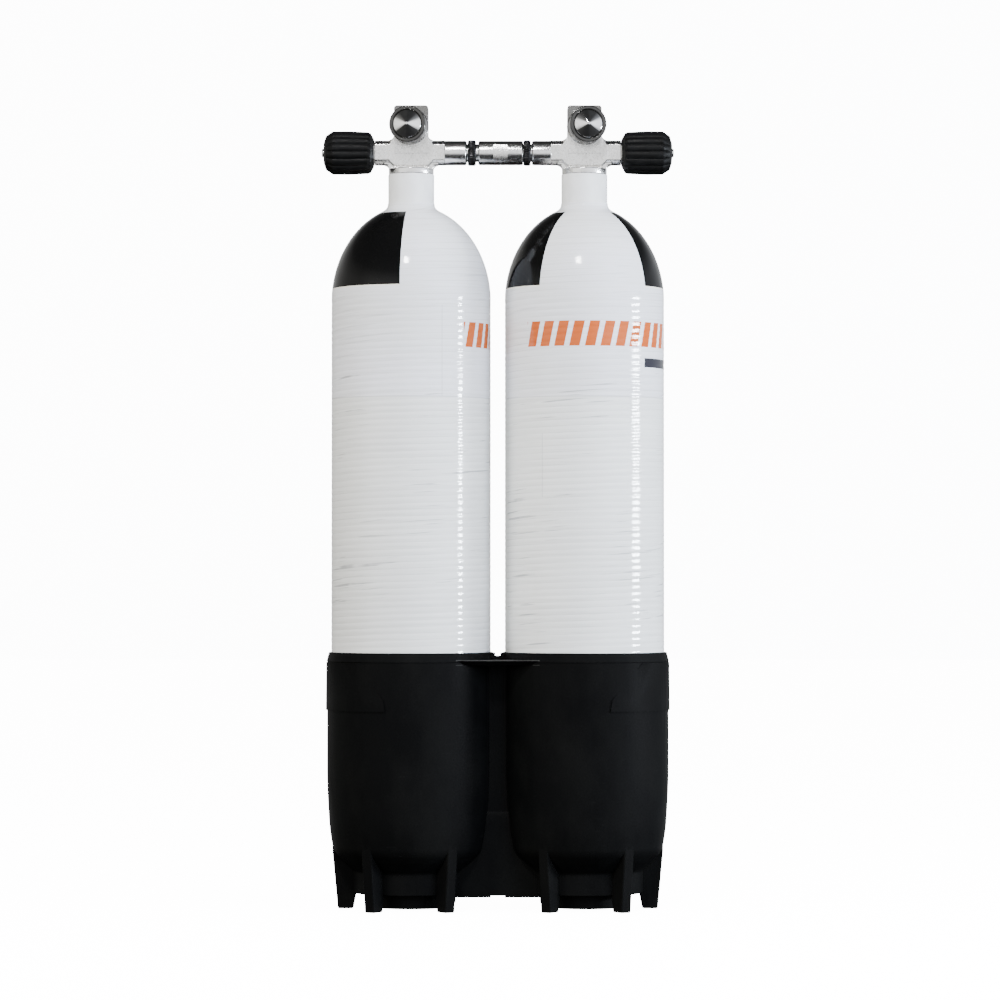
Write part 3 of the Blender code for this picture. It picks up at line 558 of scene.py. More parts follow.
def rubber_finish(name, colour=(0.003, 0.003, 0.003), roughness=0.5):
    """Moulded black rubber: fine grain, dull handling marks, and patches of pale dust."""
    finish = Finish(name, colour, roughness)
    grain = finish.noise(1700)
    worn = finish.noise(90, 5.0, 0.6)
    dust = finish.remap(worn, 0.5, 0.8, 0.0, 0.6)
    pale = tuple(part + 0.004 for part in colour)
    finish.set("Base Color", finish.mix(dust, colour, pale))
    finish.set("Specular IOR Level", 0.13)
    finish.set("Roughness", finish.remap(worn, 0.3, 0.7, roughness - 0.12, roughness + 0.12))
    finish.set("Normal", finish.bump(grain, 0.00006, 0.6))
    return finish.material


def boot_finish(name):
    """Moulded black plastic: fine texture, vertical ripples, scuffs low down, and a painted highlight along
    the deck edges.
    """
    finish = Finish(name, (0.012, 0.012, 0.0125), 0.42)
    x, y, z = finish.axes()
    texture = finish.noise(1300, 3.0, 0.6)
    ripple = finish.noise((55, 55, 9))
    cloud = finish.noise((22, 22, 14), 5.0, 0.6)
    hair = finish.noise((70, 70, 900), 2.0)
    patch = finish.noise((30, 30, 24))
    low = finish.remap(z, 0.0, 0.10, 1.0, 0.25)
    scuff = finish.times(finish.remap(hair, 0.68, 0.74), finish.remap(patch, 0.52, 0.62))
    scuff = finish.times(scuff, low)
    black = finish.mix(finish.remap(cloud, 0.4, 0.75), (0.0024, 0.0024, 0.0025), (0.0046, 0.0046, 0.0044))
    black = finish.mix(finish.times(scuff, 0.6), black, (0.016, 0.016, 0.0155))
    # Painted highlight: a paler line along the deck's top edge and a fainter one along its lower edge,
    # between the cups, front and back.
    far_out = finish.math("GREATER_THAN", finish.math("ABSOLUTE", y), 0.0655)
    between_cups = finish.math("LESS_THAN", finish.math("ABSOLUTE", x), 0.0412)
    deck_edge = finish.times(far_out, between_cups)
    patchy = finish.remap(cloud, 0.3, 0.7, 0.5, 1.0)
    upper = finish.times(finish.between(z, DECK_HIGH - 0.0007, DECK_HIGH + 0.0002), patchy)
    lower = finish.times(finish.between(z, DECK_LOW - 0.0002, DECK_LOW + 0.0004), 0.35)
    painted_deck_highlight = finish.times(deck_edge, finish.plus(upper, lower))
    finish.set("Base Color", finish.mix(painted_deck_highlight, black, (0.055, 0.055, 0.052)))
    finish.set("Specular IOR Level", 0.03)
    finish.set("Roughness", finish.remap(cloud, 0.3, 0.7, 0.46, 0.62))
    normal = finish.bump(ripple, 0.0012, 0.35)
    finish.set("Normal", finish.bump(texture, 0.00007, 0.5, normal))
    return finish.material


def plain_metal_finish(name, colour, roughness):
    """Machined metal for the inner pieces: a fine cross-grain and slight tarnish."""
    finish = Finish(name, colour, roughness, 1.0)
    grain = finish.noise((1500, 400, 1500))
    tarnish = finish.noise(150, 4.0)
    dim = tuple(0.7 * part for part in colour)
    finish.set("Base Color", finish.mix(finish.remap(tarnish, 0.4, 0.75), colour, dim))
    finish.set("Roughness", finish.remap(tarnish, 0.3, 0.7, roughness * 0.8, roughness * 1.4))
    finish.set("Normal", finish.bump(grain, 0.00004, 0.6))
    return finish.material


def nylon_finish(name):
    finish = Finish(name, (0.72, 0.69, 0.60), 0.45)
    mottle = finish.noise(300, 4.0)
    finish.set("Base Color", finish.mix(mottle, (0.74, 0.71, 0.63), (0.66, 0.62, 0.52)))
    finish.set("Subsurface Weight", 0.2)
    finish.set("Normal", finish.bump(mottle, 0.00005, 0.5))
    return finish.material


# ---------------------------------------------------------------- pieces

def ellipse_row(radius, height, base, share):
    """A point on a quarter ellipse, share 0 at its widest circle and 1 at its top."""
    angle = math.pi / 2 * share
    return radius * math.cos(angle), base + height * math.sin(angle)


def wrap_outline(radius, bottom, top):
    """The wound cylinder's outline: base dome, wall, shoulder, neck fillet, and back down the inside."""
    outline = [(0.0, bottom)]
    base_height = BASE_DOME_TOP - bottom
    outline += [ellipse_row(radius, -base_height, BASE_DOME_TOP, 1 - step / 24) for step in range(1, 24)]
    outline += [(radius, height) for height in np.arange(BASE_DOME_TOP, WINDING_LOW, 0.010)]
    outline += [(radius, height) for height in np.arange(WINDING_LOW + 0.002, SHOULDER_START, WALL_ROW)]
    crown_share = math.acos(CROWN_RADIUS / radius) / (math.pi / 2)
    for step in range(71):
        outline.append(ellipse_row(radius, SHOULDER_HEIGHT, SHOULDER_START, crown_share * step / 70))
    crown = Vector((outline[-1][0], outline[-1][1]))
    slope = (crown - Vector(outline[-2])).normalized()
    neck = Vector((NECK_RADIUS + 0.0004, top))
    reach = (crown - neck).length * 0.42
    first, second = crown + slope * reach, neck - Vector((0.0, reach))
    for step in range(1, 15):
        share = step / 14
        point = crown * (1 - share) ** 3 + 3 * first * share * (1 - share) ** 2
        point += 3 * second * share ** 2 * (1 - share) + neck * share ** 3
        outline.append((point.x, point.y))
    inside = radius - WRAP_THICKNESS
    outline.append((NECK_RADIUS + 0.0001, top))
    outline.append((NECK_RADIUS + 0.0001, top - 0.012))
    for share in (0.75, 0.5, 0.25, 0):
        outline.append(ellipse_row(inside, SHOULDER_HEIGHT - WRAP_THICKNESS, SHOULDER_START, share))
    for share in (0, 0.3, 0.6, 0.85):
        outline.append(ellipse_row(inside, WRAP_THICKNESS - base_height, BASE_DOME_TOP, share))
    outline.append((0.0, bottom + WRAP_THICKNESS))
    return outline


def build_cylinder(side_name, side, finish):
    """The painted winding: crowned bands laid side by side in several starts, each a little uneven."""
    low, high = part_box(f"{side_name}_overwrap")
    x = (low.x + high.x) / 2
    radius = (high.x - low.x) / 2
    outline = wrap_outline(radius, low.z, high.z)
    inner_rows = 11
    outer_rows = len(outline) - inner_rows
    winding_top = SHOULDER_START + WINDING_OVERRUN

    def winding(row, angle, reach, height):
        if row > outer_rows or height < WINDING_LOW or height > winding_top:
            return 0.0
        fade = min(1.0, (winding_top - height) / 0.010, (height - WINDING_LOW) / 0.004)
        azimuth = angle + math.pi / 2
        phase = (height / WINDING_PITCH - azimuth * WINDING_STARTS / math.tau) % 1.0
        spot = Vector((math.cos(angle) * 1.3, math.sin(angle) * 1.3, height * 34 + side * 7))
        slow = noise.noise(spot)
        quick = noise.noise(Vector((spot.x * 2.2, spot.y * 2.2, height * 210)))
        crown = (2 * phase - 1) ** 2
        bands = -BAND_CROWN * crown * (0.8 + 0.6 * slow)
        return fade * (bands + 0.00010 * slow + 0.00007 * quick - 0.00012)

    place = Matrix.Translation((x, 0, 0))
    shell = turned(f"{side_name}_wound_cylinder", outline, 224, place, winding, 60)
    dress(shell, finish, stands_for=[f"{side_name}_overwrap"])


def build_neck(side_name, finish):
    """The liner, whose painted neck stands out of the winding, with a chamfered mouth."""
    low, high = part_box(f"{side_name}_liner")
    x = (low.x + high.x) / 2
    radius = (high.x - low.x) / 2
    height = SHOULDER_HEIGHT - WRAP_THICKNESS
    base_height = BASE_DOME_TOP - low.z
    outline = [(0.0, low.z)]
    outline += [ellipse_row(radius, -base_height, BASE_DOME_TOP, 1 - step / 10) for step in range(1, 11)]
    outline += [ellipse_row(radius, height, SHOULDER_START, share / 14) for share in range(1, 12)]
    collar = rounded([
        (NECK_RADIUS, SHOULDER_START + height * 0.95, 0.0), (NECK_RADIUS, high.z, 0.0007),
        (LINER_SEAT, high.z, 0.0003), (LINER_SEAT, high.z - 0.0025, 0.0003),
        (LINER_BORE, high.z - 0.0025, 0.0003), (LINER_BORE, SHOULDER_START + height - 0.006, 0.0),
    ])
    outline += collar
    for share in (0.8, 0.6, 0.3, 0):
        outline.append(ellipse_row(radius - LINER_WALL, height - LINER_WALL, SHOULDER_START, share))
    for share in (0, 0.3, 0.6, 0.85):
        outline.append(ellipse_row(radius - LINER_WALL, LINER_WALL - base_height, BASE_DOME_TOP, share))
    outline.append((0.0, low.z + LINER_WALL))
    neck = turned(f"{side_name}_painted_neck", outline, 96, Matrix.Translation((x, 0, 0)))
    dress(neck, finish, stands_for=[f"{side_name}_liner"])


def pad_outline():
    """The flat front of the forging between its arms, with sloping lower corners."""
    return [
        (-0.0228, 0.0065), (-0.0228, -0.0072), (-0.0172, -0.0134), (0.0172, -0.0134), (0.0228, -0.0072),
        (0.0228, 0.0065), (0.0172, 0.0150), (-0.0172, 0.0150),
    ]


def hollow_corner(x, z, across, up, radius):
    """A fillet web's outline in the corner at (x, z) that opens towards (across, up)."""
    start = {(1, 1): 180, (-1, 1): 270, (-1, -1): 0, (1, -1): 90}[(across, up)]
    centre = (x + across * radius, z + up * radius)
    root = (x - across * 0.002, z - up * 0.002)
    return [root] + arc(centre, radius, start, start + 90, 10)


def block_outline(top, bottom):
    half, corner = BLOCK_HALF_WIDTH, 0.003
    outline = [(-half, bottom), (half, bottom)]
    outline += arc((half - corner, top - corner), corner, 0, 90, 6)
    outline += arc((corner - half, top - corner), corner, 90, 180, 6)
    return outline


def build_forging(side_name, side, finish):
    """The bead-blasted forging: flattened arms, a sloped pad, the outlet block, and soft fillets between."""
    centre = VALVE[side_name]
    _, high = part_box(f"{side_name}_valve_body")
    arm = axis_place(Vector(), Vector((side, 0, 0)))
    outlet = axis_place(OUTLET[side_name] - centre, OUTLET_WAY[side_name])
    top = high.z - centre.z
    shelf = [(-0.0275, -0.009), (-0.0268, -0.0122), (0.0268, -0.0122), (0.0275, -0.009)]
    foot = [
        (-FOOT_HALF_WIDTH, -0.011), (-FOOT_HALF_WIDTH, COLLAR_TOP - 0.001),
        (FOOT_HALF_WIDTH, COLLAR_TOP - 0.001), (FOOT_HALF_WIDTH, -0.011),
    ]
    parts = [
        rod_part(ARM_RADIUS + 0.0002, -FORGED_ARM_LENGTH, KNOB_ARM_LENGTH, arm, half_depth=ARM_FLAT_DEPTH),
        slab_part(pad_outline(), ARM_FLAT_DEPTH + 0.0002),
        slab_part(block_outline(top, -0.001), ARM_FLAT_DEPTH + 0.0004),
        rod_part(OUTLET_RADIUS - 0.0004, 0.0, 0.024, outlet),
        rod_part(COLLAR_RADIUS - 0.002, -0.0195, -0.0158, Matrix.Identity(4)),
        slab_part(shelf, FOOT_HALF_DEPTH),
        slab_part(foot, FOOT_HALF_DEPTH),
    ]
    for half_width, up, half_depth in ((BLOCK_HALF_WIDTH, 1, 0.0092), (FOOT_HALF_WIDTH, -1, 0.0075)):
        for across in (1, -1):
            corner = hollow_corner(across * half_width, up * ARM_RADIUS, across, up, FILLET)
            parts.append(slab_part(corner, half_depth))
    forging = join_parts(f"{side_name}_forging", parts)
    remesh = forging.modifiers.new("skin", "REMESH")
    remesh.mode = "VOXEL"
    remesh.voxel_size = FORGING_VOXEL
    smooth = forging.modifiers.new("soften", "SMOOTH")
    smooth.factor = 0.5
    smooth.iterations = 7
    settle(forging, 180)
    outlet_rod = rod_part(POCKET_RADIUS + 0.002, OUTLET_FACE - 0.019, OUTLET_FACE + 0.01, outlet)
    chamber_rod = rod_part(0.0083, 0.003, KNOB_ARM_LENGTH + 0.01, arm)
    socket_rod = rod_part(BAR_BORE, -BAR_ARM_LENGTH[side_name], -0.0335, arm)
    combine(forging, "DIFFERENCE", [
        join_parts("outlet_cutter", [outlet_rod]),
        join_parts("chamber_cutter", [chamber_rod]),
        join_parts("socket_cutter", [socket_rod]),
    ])
    forging.matrix_world = Matrix.Translation(centre)
    dress(forging, finish, stands_for=[f"{side_name}_valve_body"])


def build_turned_parts(side_name, side, bright, satin):
    """The machined faces of a valve: its collar and stub, the bar arm, and the ring round the outlet."""
    centre = VALVE[side_name]
    low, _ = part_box(f"{side_name}_valve_body")
    _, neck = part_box(f"{side_name}_liner")
    collar_low = neck.z + 0.0003 - centre.z
    collar = rounded([
        (0.0034, low.z - centre.z, 0.0), (0.0124, low.z - centre.z, 0.0008),
        (0.0124, collar_low - 0.001, 0.0), (0.0124, collar_low, 0.0), (COLLAR_RADIUS, collar_low, 0.0006),
        (COLLAR_RADIUS, COLLAR_TOP, 0.0009), (0.0034, COLLAR_TOP, 0.0),
    ])
    ring = turned(f"{side_name}_collar", collar, 128, Matrix.Translation(centre))
    dress(ring, bright)

    arm_end = BAR_ARM_LENGTH[side_name]
    arm_outline = rounded([
        (BAR_BORE, 0.0334, 0.0), (ARM_RADIUS, 0.0334, 0.0004), (ARM_RADIUS, arm_end - 0.0014, 0.0003),
        (ARM_RADIUS - 0.0012, arm_end, 0.0002), (BAR_BORE, arm_end, 0.0),
    ])
    arm = turned(f"{side_name}_bar_arm", arm_outline, 128, axis_place(centre, Vector((-side, 0, 0))))
    dress(arm, bright)

    floor = OUTLET_FACE - POCKET_DEPTH
    boss_outline = rounded([
        (0.0115, 0.0145, 0.0), (0.0155, 0.0145, 0.0), (0.0155, 0.0205, 0.0),
        (OUTLET_RADIUS, 0.0215, 0.0006), (OUTLET_RADIUS, 0.0296, 0.0002),
        (OUTLET_RADIUS - 0.0005, 0.0300, 0.0002), (OUTLET_RADIUS - 0.0005, 0.0306, 0.0002),
        (OUTLET_RADIUS, 0.0310, 0.0002), (OUTLET_RADIUS, OUTLET_FACE, 0.0009),
        (0.0152, OUTLET_FACE, 0.0002), (POCKET_RADIUS, OUTLET_FACE - 0.0009, 0.0002),
        (POCKET_RADIUS, floor, 0.0002), (0.0115, floor, 0.0),
    ], 4)
    boss_place = axis_place(OUTLET[side_name], OUTLET_WAY[side_name])
    boss = turned(f"{side_name}_outlet_ring", boss_outline, 128, boss_place)
    # satin is here the outlet ring's near-black metal, a painted dark reflection.
    dress(boss, satin)


def build_cone_plug(side_name, finish):
    """The screwed plug: a polished cone for a head, a rounded rim, and a plain shank behind."""
    outline = rounded([
        (0.0, 0.0172, 0.0), (0.0102, 0.0172, 0.0), (PLUG_SHANK_RADIUS, 0.0182, 0.0003),
        (PLUG_SHANK_RADIUS, 0.0308, 0.0), (PLUG_RADIUS, 0.0308, 0.0003), (PLUG_RADIUS, 0.0331, 0.0010),
        (0.0012, 0.0384, 0.0012), (0.0, 0.0384, 0.0),
    ], 8)
    place = axis_place(OUTLET[side_name], OUTLET_WAY[side_name])
    plug = turned(f"{side_name}_cone_plug", outline, 160, place)
    dress(plug, finish, f"{side_name}_plug", [f"{side_name}_outlet_plug"])


def build_grip(side_name, side, rubber, metal):
    """The rubber grip: a barrel with sixteen broad ribs, thin grooves between, and a domed end."""
    centre = VALVE[side_name]
    low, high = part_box(f"{side_name}_knob_grip")
    start, end = sorted((abs(low.x - centre.x), abs(high.x - centre.x)))
    radius = GRIP_RADIUS
    outline = rounded([
        (GRIP_BORE, start + 0.006, 0.0), (GRIP_BORE, start, 0.0006),
        (radius - 0.0019, start + 0.0037, 0.0008), (radius - 0.0009, start + 0.0065, 0.002),
        (radius, start + 0.026, 0.03), (radius - 0.0002, end - 0.0095, 0.0035),
        (radius - 0.0048, end - 0.0026, 0.003), (radius - 0.0115, end - 0.0004, 0.004),
        (0.0049, end, 0.0008), (0.0047, end - 0.0035, 0.0), (0.0121, end - 0.0037, 0.0),
        (GRIP_CORE_RADIUS, end - 0.0075, 0.0), (GRIP_CORE_RADIUS, GRIP_CORE_END, 0.0),
        (GRIP_BORE, GRIP_CORE_END, 0.0),
    ], 6)
    dense = []
    for here, after in zip(outline, outline[1:]):
        steps = max(1, int(math.dist(here, after) / 0.0012))
        for step in range(steps):
            dense.append(tuple(np.array(here) + (np.array(after) - here) * step / steps))
    dense.append(outline[-1])

    def flute(row, angle, reach, height):
        if reach < FLUTE_INNER or height < start + 0.0022:
            return 0.0
        phase = (angle * FLUTES / math.tau) % 1.0
        off = min(phase, 1 - phase)
        groove = math.exp(-((off / 0.085) ** 2))
        crown = 0.00035 * math.cos(math.tau * phase)
        fade = min(1.0, (reach - FLUTE_INNER) / 0.0035, (height - start - 0.0022) / 0.0025)
        return fade * (-0.00095 * groove - crown - 0.00035)

    place = axis_place(centre, Vector((side, 0, 0)))
    grip = turned(f"{side_name}_ribbed_grip", dense, FLUTES * 18, place, flute, 50)
    dress(grip, rubber, f"{side_name}_handwheel", [f"{side_name}_knob_grip"])

    nut_low, nut_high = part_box(f"{side_name}_knob_nut")
    nut_start, nut_end = sorted((abs(nut_low.x - centre.x), abs(nut_high.x - centre.x)))
    nut_outline = rounded([
        (0.0, 0.0874, 0.0), (0.0028, 0.0874, 0.0), (0.0028, nut_start, 0.0), (0.0043, nut_start, 0.0003),
        (0.0043, nut_end - 0.0006, 0.0004), (0.0034, nut_end, 0.0003), (0.0012, nut_end, 0.0002),
        (0.0009, nut_end - 0.0004, 0.0), (0.0, nut_end - 0.0004, 0.0),
    ], 4)
    nut = turned(f"{side_name}_end_nut", nut_outline, 64, place)
    dress(nut, metal, f"{side_name}_handwheel", [f"{side_name}_knob_nut"])


def build_lock_ring(side_name, finish):
    """A dark lock ring with a straight knurl between two plain chamfered edges."""
    centre_z = VALVE[side_name].z
    low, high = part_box(f"{side_name}_lock_ring")
    start, end = low.x, high.x
    radius = (high.z - low.z) / 2
    outline = [
        (BAR_BORE, start), (radius - 0.0011, start), (radius - 0.0007, start + 0.0007),
        (radius - 0.0004, start + 0.0009), (radius, start + 0.0014), (radius, end - 0.0014),
        (radius - 0.0004, end - 0.0009), (radius - 0.0007, end - 0.0007), (radius - 0.0011, end),
        (BAR_BORE, end),
    ]
    teeth = 46

    def knurl(row, angle, reach, height):
        if row not in (3, 4, 5, 6):
            return 0.0
        return -0.0005 * (0.5 - 0.5 * math.cos(angle * teeth))

    place = axis_place(Vector((0, 0, centre_z)), Vector((1, 0, 0)))
    ring = turned(f"{side_name}_knurled_ring", outline, teeth * 8, place, knurl, 50)
    dress(ring, finish, stands_for=[f"{side_name}_lock_ring"])


def build_bar(bright, satin):
    """The manifold bar: a bright turned middle with two blasted spanner flats, and thinner threaded ends."""
    low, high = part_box("crossbar")
    centre_z = (low.z + high.z) / 2
    left, right = BAR_SHOULDERS
    outline = rounded([
        (0.0025, -high.x, 0.0), (0.0085, -high.x, 0.0003), (BAR_THREAD_RADIUS, -high.x + 0.001, 0.0002),
        (BAR_THREAD_RADIUS, left, 0.0), (0.0110, left, 0.0002), (BAR_RADIUS, left + 0.0012, 0.0003),
        (BAR_RADIUS, right - 0.0012, 0.0003), (0.0110, right, 0.0002), (BAR_THREAD_RADIUS, right, 0.0),
        (BAR_THREAD_RADIUS, high.x - 0.001, 0.0002), (0.0085, high.x, 0.0003), (0.0025, high.x, 0.0),
    ], 4)
    place = axis_place(Vector((0, 0, centre_z)), Vector((1, 0, 0)))
    bar = turned("manifold_bar", outline, 160, place)
    flats = []
    for facing in (-1, 1):
        near, far = sorted((facing * BAR_FLAT_DEPTH, facing * 0.016))
        flat = box_part((BAR_FLAT[0], near, centre_z - 0.014), (BAR_FLAT[1], far, centre_z + 0.014))
        flats.append(make_object(f"flat_cutter_{facing}", *flat))
    combine(bar, "DIFFERENCE", flats)
    dress(bar, bright, stands_for=["crossbar"])
    bar.data.materials.append(satin)
    for face in bar.data.polygons:
        middle = bar.matrix_world @ face.center
        if BAR_FLAT[0] < middle.x < BAR_FLAT[1] and abs(abs(middle.y) - BAR_FLAT_DEPTH) < 0.00005:
            face.material_index = 1


def leg_part(cup_x, angle):
    """One fin-shaped leg as (vertices, faces), flat on the floor, with its root inside the cup."""
    outline = [
        (0.0574, 0.0), (0.0728, 0.0), (0.0782, 0.057), (0.0784, 0.0665), (0.0535, 0.046), (0.0535, 0.020),
    ]
    vertices, faces = slab_part(outline, LEG_HALF_WIDTH)
    turn = Matrix.Translation((cup_x, 0, 0)) @ Matrix.Rotation(math.radians(angle - 90), 4, "Z")
    return [turn @ vertex for vertex in vertices], faces


def rounded_object(name, part, width, segments=3):
    thing = join_parts(name, [part])
    bevel = thing.modifiers.new("edges", "BEVEL")
    bevel.width = width
    bevel.segments = segments
    bevel.limit_method = "ANGLE"
    settle(thing)
    return thing


def cup_outline():
    return rounded([
        (0.0, 0.002, 0.0), (0.042, 0.002, 0.0010), (0.042, 0.016, 0.0008), (0.058, 0.016, 0.0012),
        (0.058, 0.0380, 0.004), (0.0696, 0.0490, 0.020), (0.0775, 0.0578, 0.018), (0.0813, 0.080, 0.200),
        (CUP_RADIUS, 0.124, 0.600), (CUP_RADIUS, 0.2460, 0.0002), (0.0844, 0.2465, 0.0003),
        (0.0822, 0.2551, 0.0008), (0.0812, CUP_TOP, 0.0003), (0.0, CUP_TOP, 0.0),
    ], 8)


def cup_hollow():
    return [
        (0.0, -0.008), (0.0385, -0.008), (0.0385, 0.027), (0.010, 0.027), (0.010, 0.0317), (0.048, 0.0365),
        (0.062, 0.046), (0.071, 0.0576), (0.0755, 0.070), (0.0787, 0.085), (0.0803, 0.100),
        (0.0803, CUP_HOLLOW_TOP), (0.0, CUP_HOLLOW_TOP),
    ]


def panel_part(cup_x, side):
    """The raised band on a cup's outer side, whose ends slope back towards the top."""
    steps = 60
    vertices = []
    for step in range(steps + 1):
        for height, reach in PANEL_ROWS:
            start = math.radians(reach)
            angle = start + (math.pi - 2 * start) * step / steps
            flare = 0.0004 * (PANEL_TOP - height) / 0.0475
            for distance in (0.0818, 0.0847 + flare):
                x = cup_x + side * distance * math.sin(angle)
                vertices.append(Vector((x, -distance * math.cos(angle), height)))
    loop = (0, 1, 3, 5, 4, 2)
    faces = []
    for step in range(steps):
        for here, there in zip(loop, loop[1:] + loop[:1]):
            faces.append([6 * step + here, 6 * step + there, 6 * step + 6 + there, 6 * step + 6 + here])
    faces.append(list(reversed(loop)))
    faces.append([6 * steps + corner for corner in loop])
    return vertices, faces


def across_part(outline, half_length):
    """An outline of (y, z) points extruded along X both ways, as (vertices, faces)."""
    vertices, faces = slab_part(outline, half_length)
    return [Vector((-vertex.y, vertex.x, vertex.z)) for vertex in vertices], faces


def web_outline(facing):
    """The web set back between the cups: a thicker foot, a rounded ledge above it, and the sheet behind."""
    points = [(0.0265, 0.013), (0.0325, 0.013), (0.0327, 0.086)]
    for turn in (0.4, 0.8, 1.2):
        points.append((0.0300 + 0.0026 * math.cos(turn), 0.086 + 0.012 * math.sin(turn)))
    points += [(0.0300, 0.099), (0.0300, 0.2446), (0.0265, 0.2446)]
    return [(facing * depth, height) for depth, height in points]


def build_boot(finish):
    """The twin boot: two cups tied by a deck and two recessed webs, with side panels and finned legs."""
    deck = [
        (-0.0637, DECK_LOW), (0.0637, DECK_LOW), (0.070, 0.2480),
        (0.0698, DECK_HIGH), (-0.0698, DECK_HIGH), (-0.070, 0.2480),
    ]
    boot = rounded_object("boot_moulding", across_part(deck, 0.043), 0.0009)
    joined = []
    for facing in (-1, 1):
        joined.append(rounded_object(f"web_{facing}", across_part(web_outline(facing), 0.046), 0.0006))
    bridge = box_part((-0.009, -0.024, 0.2456), (0.009, 0.024, 0.2545))
    joined.append(rounded_object("rim_bridge", bridge, 0.0006))
    cuts = [
        make_object("rim_notch", *box_part((-0.0026, -0.05, 0.2515), (0.0026, 0.05, CUP_HOLLOW_TOP))),
        make_object("foot_notch", *box_part((-0.007, -0.05, 0.003), (0.007, 0.05, 0.0148))),
    ]
    for side_name, side in SIDES:
        cup_x = VALVE[side_name].x
        cup = Matrix.Translation((cup_x, 0, 0))
        joined.append(turned(f"cup_{side_name}", cup_outline(), 192, cup))
        joined.append(make_object(f"panel_{side_name}", *panel_part(cup_x, side)))
        for angle in (*LEG_ANGLES, side * 90):
            joined.append(rounded_object(f"leg_{side_name}_{angle}", leg_part(cup_x, angle), 0.0016, 4))
        cuts.append(turned(f"hollow_{side_name}", cup_hollow(), 192, cup))
    combine(boot, "UNION", joined)
    combine(boot, "DIFFERENCE", cuts)
    flatten = boot.modifiers.new("flat_shading", "WEIGHTED_NORMAL")
    flatten.keep_sharp = True
    flatten.weight = 80
    mesh = bpy.data.meshes.new_from_object(boot.evaluated_get(bpy.context.evaluated_depsgraph_get()))
    boot.modifiers.clear()
    boot.data = mesh
    dress(boot, finish, stands_for=["twin_boot"])


def box_part(low, high):
    outline = [(low[0], low[2]), (high[0], low[2]), (high[0], high[2]), (low[0], high[2])]
    vertices, faces = slab_part(outline, 1.0)
    return [Vector((v.x, low[1] if v.y < 0 else high[1], v.z)) for v in vertices], faces


def dress_inner_nodes(finishes):
    """Every CAD node that stays gets its own kind of finish."""
    kinds = {
        "neck_oring": "oring", "spindle_oring": "oring", "outlet_oring": "oring", "bar_oring": "oring",
        "dip_tube": "brass", "gland_nut": "nickel", "spindle": "brass", "seat_plug": "brass",
        "thrust_washer": "nylon", "seat_insert": "nylon", "knob_core": "core", "knob_spring": "steel",
    }
    for side_name, _ in SIDES:
        for kind, finish in kinds.items():
            node = frame["nodes"][f"{side_name}_{kind}"]
            node.data.materials.clear()
            node.data.materials.append(finishes[finish])


# ---------------------------------------------------------------- studio

def build_floor():
    floor = make_object("floor", [(-9, -6, 0), (9, -6, 0), (9, 12, 0), (-9, 12, 0)], [[0, 1, 2, 3]])
    finish = Finish("floor_white", (0.9, 0.9, 0.9), 0.9)
    mottle = finish.noise(3)
    finish.set("Base Color", finish.mix(mottle, (0.93, 0.93, 0.93), (0.91, 0.91, 0.91)))
    finish.set("Emission Color", (1.0, 1.0, 1.0, 1.0))
    finish.set("Emission Strength", FLOOR_GLOW)
    floor.data.materials.append(finish.material)
    floor.visible_glossy = False
    floor.visible_diffuse = False


def add_softbox(name, place, target, width, height, watts, colour=(1, 1, 1), glossy=True):
    light = bpy.data.lights.new(name, "AREA")
    light.shape = "RECTANGLE"
    light.size = width
    light.size_y = height
    light.energy = watts
    light.color = colour
    lamp = bpy.data.objects.new(name, light)
    bpy.context.scene.collection.objects.link(lamp)
    way = Vector(target) - Vector(place)
    lamp.location = place
    lamp.rotation_mode = "QUATERNION"
    lamp.rotation_quaternion = way.to_track_quat("-Z", "Y")
    lamp.visible_glossy = glossy


def build_world():
    """A white studio: a bright belt round the horizon that dims behind, dark overhead and underfoot.

    The belt is warm on the left and cool on the right, and the backdrop itself shows as plain white.
    """
    world = bpy.data.worlds.new("studio")
    bpy.context.scene.world = world
    world.use_nodes = True
    graph = Graph(world.node_tree, "Background", "Generated")

    def ramp(value, stops):
        node = graph.nodes.new("ShaderNodeValToRGB")
        graph.feed(node.inputs["Fac"], value)
        elements = node.color_ramp.elements
        while len(elements) < len(stops):
            elements.new(0.5)
        for element, (position, level) in zip(elements, stops):
            element.position = position
            element.color = (level, level, level, 1.0)
        return node.outputs["Color"]

    x, y, z = graph.axes()
    around = graph.math("ABSOLUTE", graph.math("ARCTAN2", x, graph.times(y, -1.0)))
    belt = ramp(graph.math("MULTIPLY_ADD", z, 0.5, 0.5), UPWARD_STOPS)
    sector = ramp(graph.math("DIVIDE", around, math.pi), AROUND_STOPS)
    right = graph.math("MULTIPLY_ADD", x, 0.22, 1.0)
    studio = graph.times(graph.times(graph.times(belt, sector), right), STUDIO_LEVEL)
    seen = graph.nodes.new("ShaderNodeLightPath").outputs["Is Camera Ray"]
    graph.set("Color", graph.mix(graph.math("MULTIPLY_ADD", x, 0.5, 0.5), WARM_SIDE, COOL_SIDE))
    graph.set("Strength", graph.math("MAXIMUM", graph.times(seen, BACKDROP_LEVEL), studio))


def build_lights():
    """One lamp makes the beaded strip down each cylinder, one the shoulder glints, and three only fill."""
    add_softbox("right_strip", (2.1, -0.45, 0.53), (0.1, 0, 0.53), 0.46, 0.26, 62, (0.85, 0.92, 1.0))
    add_softbox("right_box", (1.7, -1.9, 1.2), (0, 0, 0.5), 1.0, 1.6, 88, (0.68, 0.79, 1.0), glossy=False)
    add_softbox("left_box", (-2.2, -1.5, 0.9), (0, 0, 0.5), 0.9, 1.4, 42, (1.0, 0.98, 0.92), glossy=False)
    add_softbox("front_glint", (-0.42, -2.5, 2.8), (0, 0, 0.65), 0.38, 0.38, 80)
    add_softbox("overhead", (0, -0.3, 3.2), (0, 0, 0), 2.5, 2.5, 70, glossy=False)


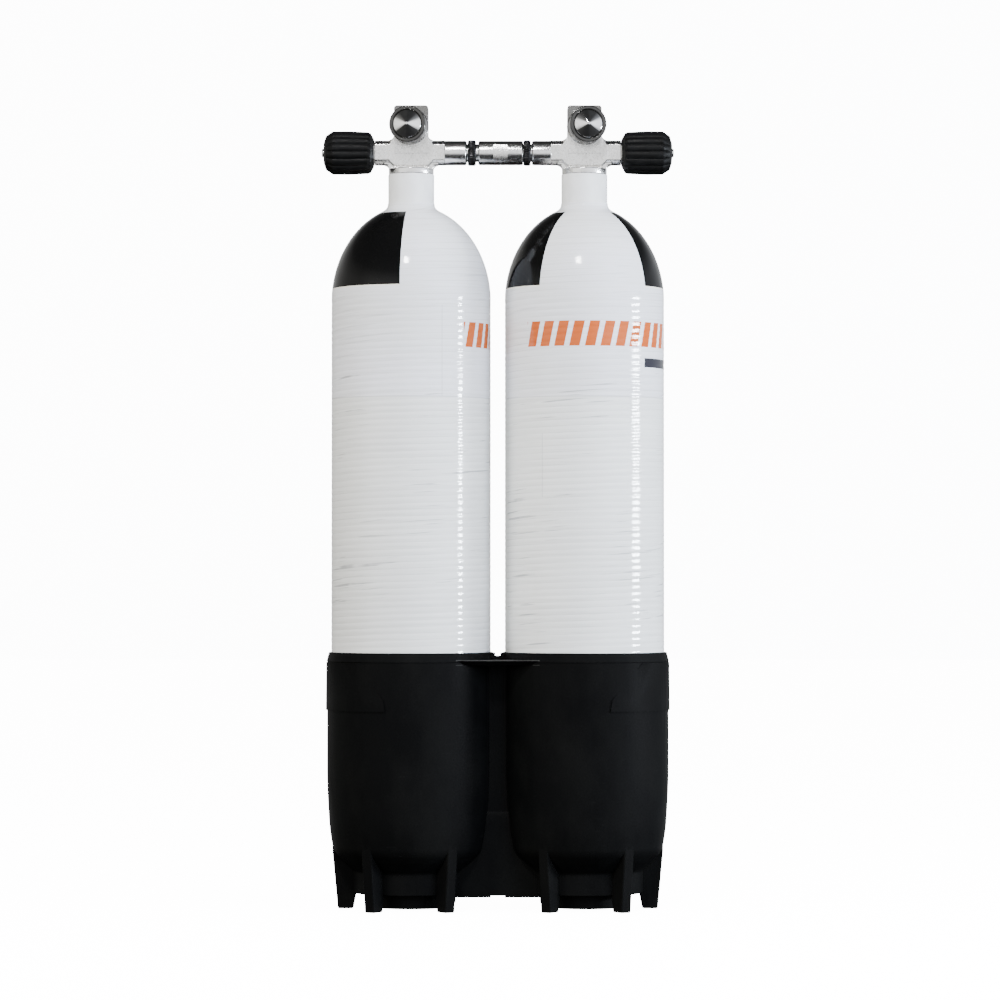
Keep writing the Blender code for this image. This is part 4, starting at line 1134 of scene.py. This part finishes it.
def build_camera():
    """Straight on, a little below the middle of the set, tilted up by about a degree."""
    camera = bpy.data.objects.new("camera", bpy.data.cameras.new("camera"))
    bpy.context.scene.collection.objects.link(camera)
    camera.data.sensor_width = 36
    camera.data.lens = CAMERA_LENS
    camera.data.clip_end = 50
    camera.location = CAMERA_PLACE
    camera.rotation_euler = (math.radians(CAMERA_PITCH), 0, 0)
    bpy.context.scene.camera = camera


def main():
    build_camera()
    build_world()
    build_lights()
    build_floor()
    low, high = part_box("left_overwrap")
    radius = (high.x - low.x) / 2
    forged = forged_finish("blasted_nickel")
    bright = turned_finish("bright_plate", (0.90, 0.895, 0.89), 0.22)
    # The outlet ring's metal is near black as a painted dark reflection of the room in front of it.
    dark_reflection_ring_metal = turned_finish("outlet_plate_dark_reflection", (0.08, 0.079, 0.077), 0.15)
    polished = turned_finish("polished_plate", (0.80, 0.80, 0.80), 0.035, rings=0.12)
    dark = turned_finish("dark_plate", (0.035, 0.035, 0.037), 0.3)
    rubber = rubber_finish("grip_rubber")
    neck_paint = gloss_white_finish("neck_paint")
    paints = {
        "left": paint_finish("left_paint", radius, (-7, 99), [(23.7, FILM_LOW, 0.598)], 42, 118),
        "right": paint_finish("right_paint", radius, (-35, 83), [(-32.6, 0.409, 0.472)], -46, 47),
    }
    for side_name, side in SIDES:
        build_cylinder(side_name, side, paints[side_name])
        build_neck(side_name, neck_paint)
        build_forging(side_name, side, forged)
        build_turned_parts(side_name, side, bright, dark_reflection_ring_metal)
        build_cone_plug(side_name, polished)
        build_grip(side_name, side, rubber, bright)
        build_lock_ring(side_name, dark)
    build_bar(bright, forged)
    build_boot(boot_finish("boot_plastic"))
    dress_inner_nodes({
        "oring": rubber_finish("seal_rubber", (0.016, 0.016, 0.016), 0.42),
        "brass": plain_metal_finish("inner_brass", (0.66, 0.50, 0.25), 0.28),
        "steel": plain_metal_finish("spring_steel", (0.56, 0.56, 0.57), 0.25),
        "core": rubber_finish("core_plastic", (0.02, 0.02, 0.02), 0.45),
        "nylon": nylon_finish("white_nylon"),
        "nickel": plain_metal_finish("gland_nickel", (0.62, 0.61, 0.59), 0.3),
    })


main()
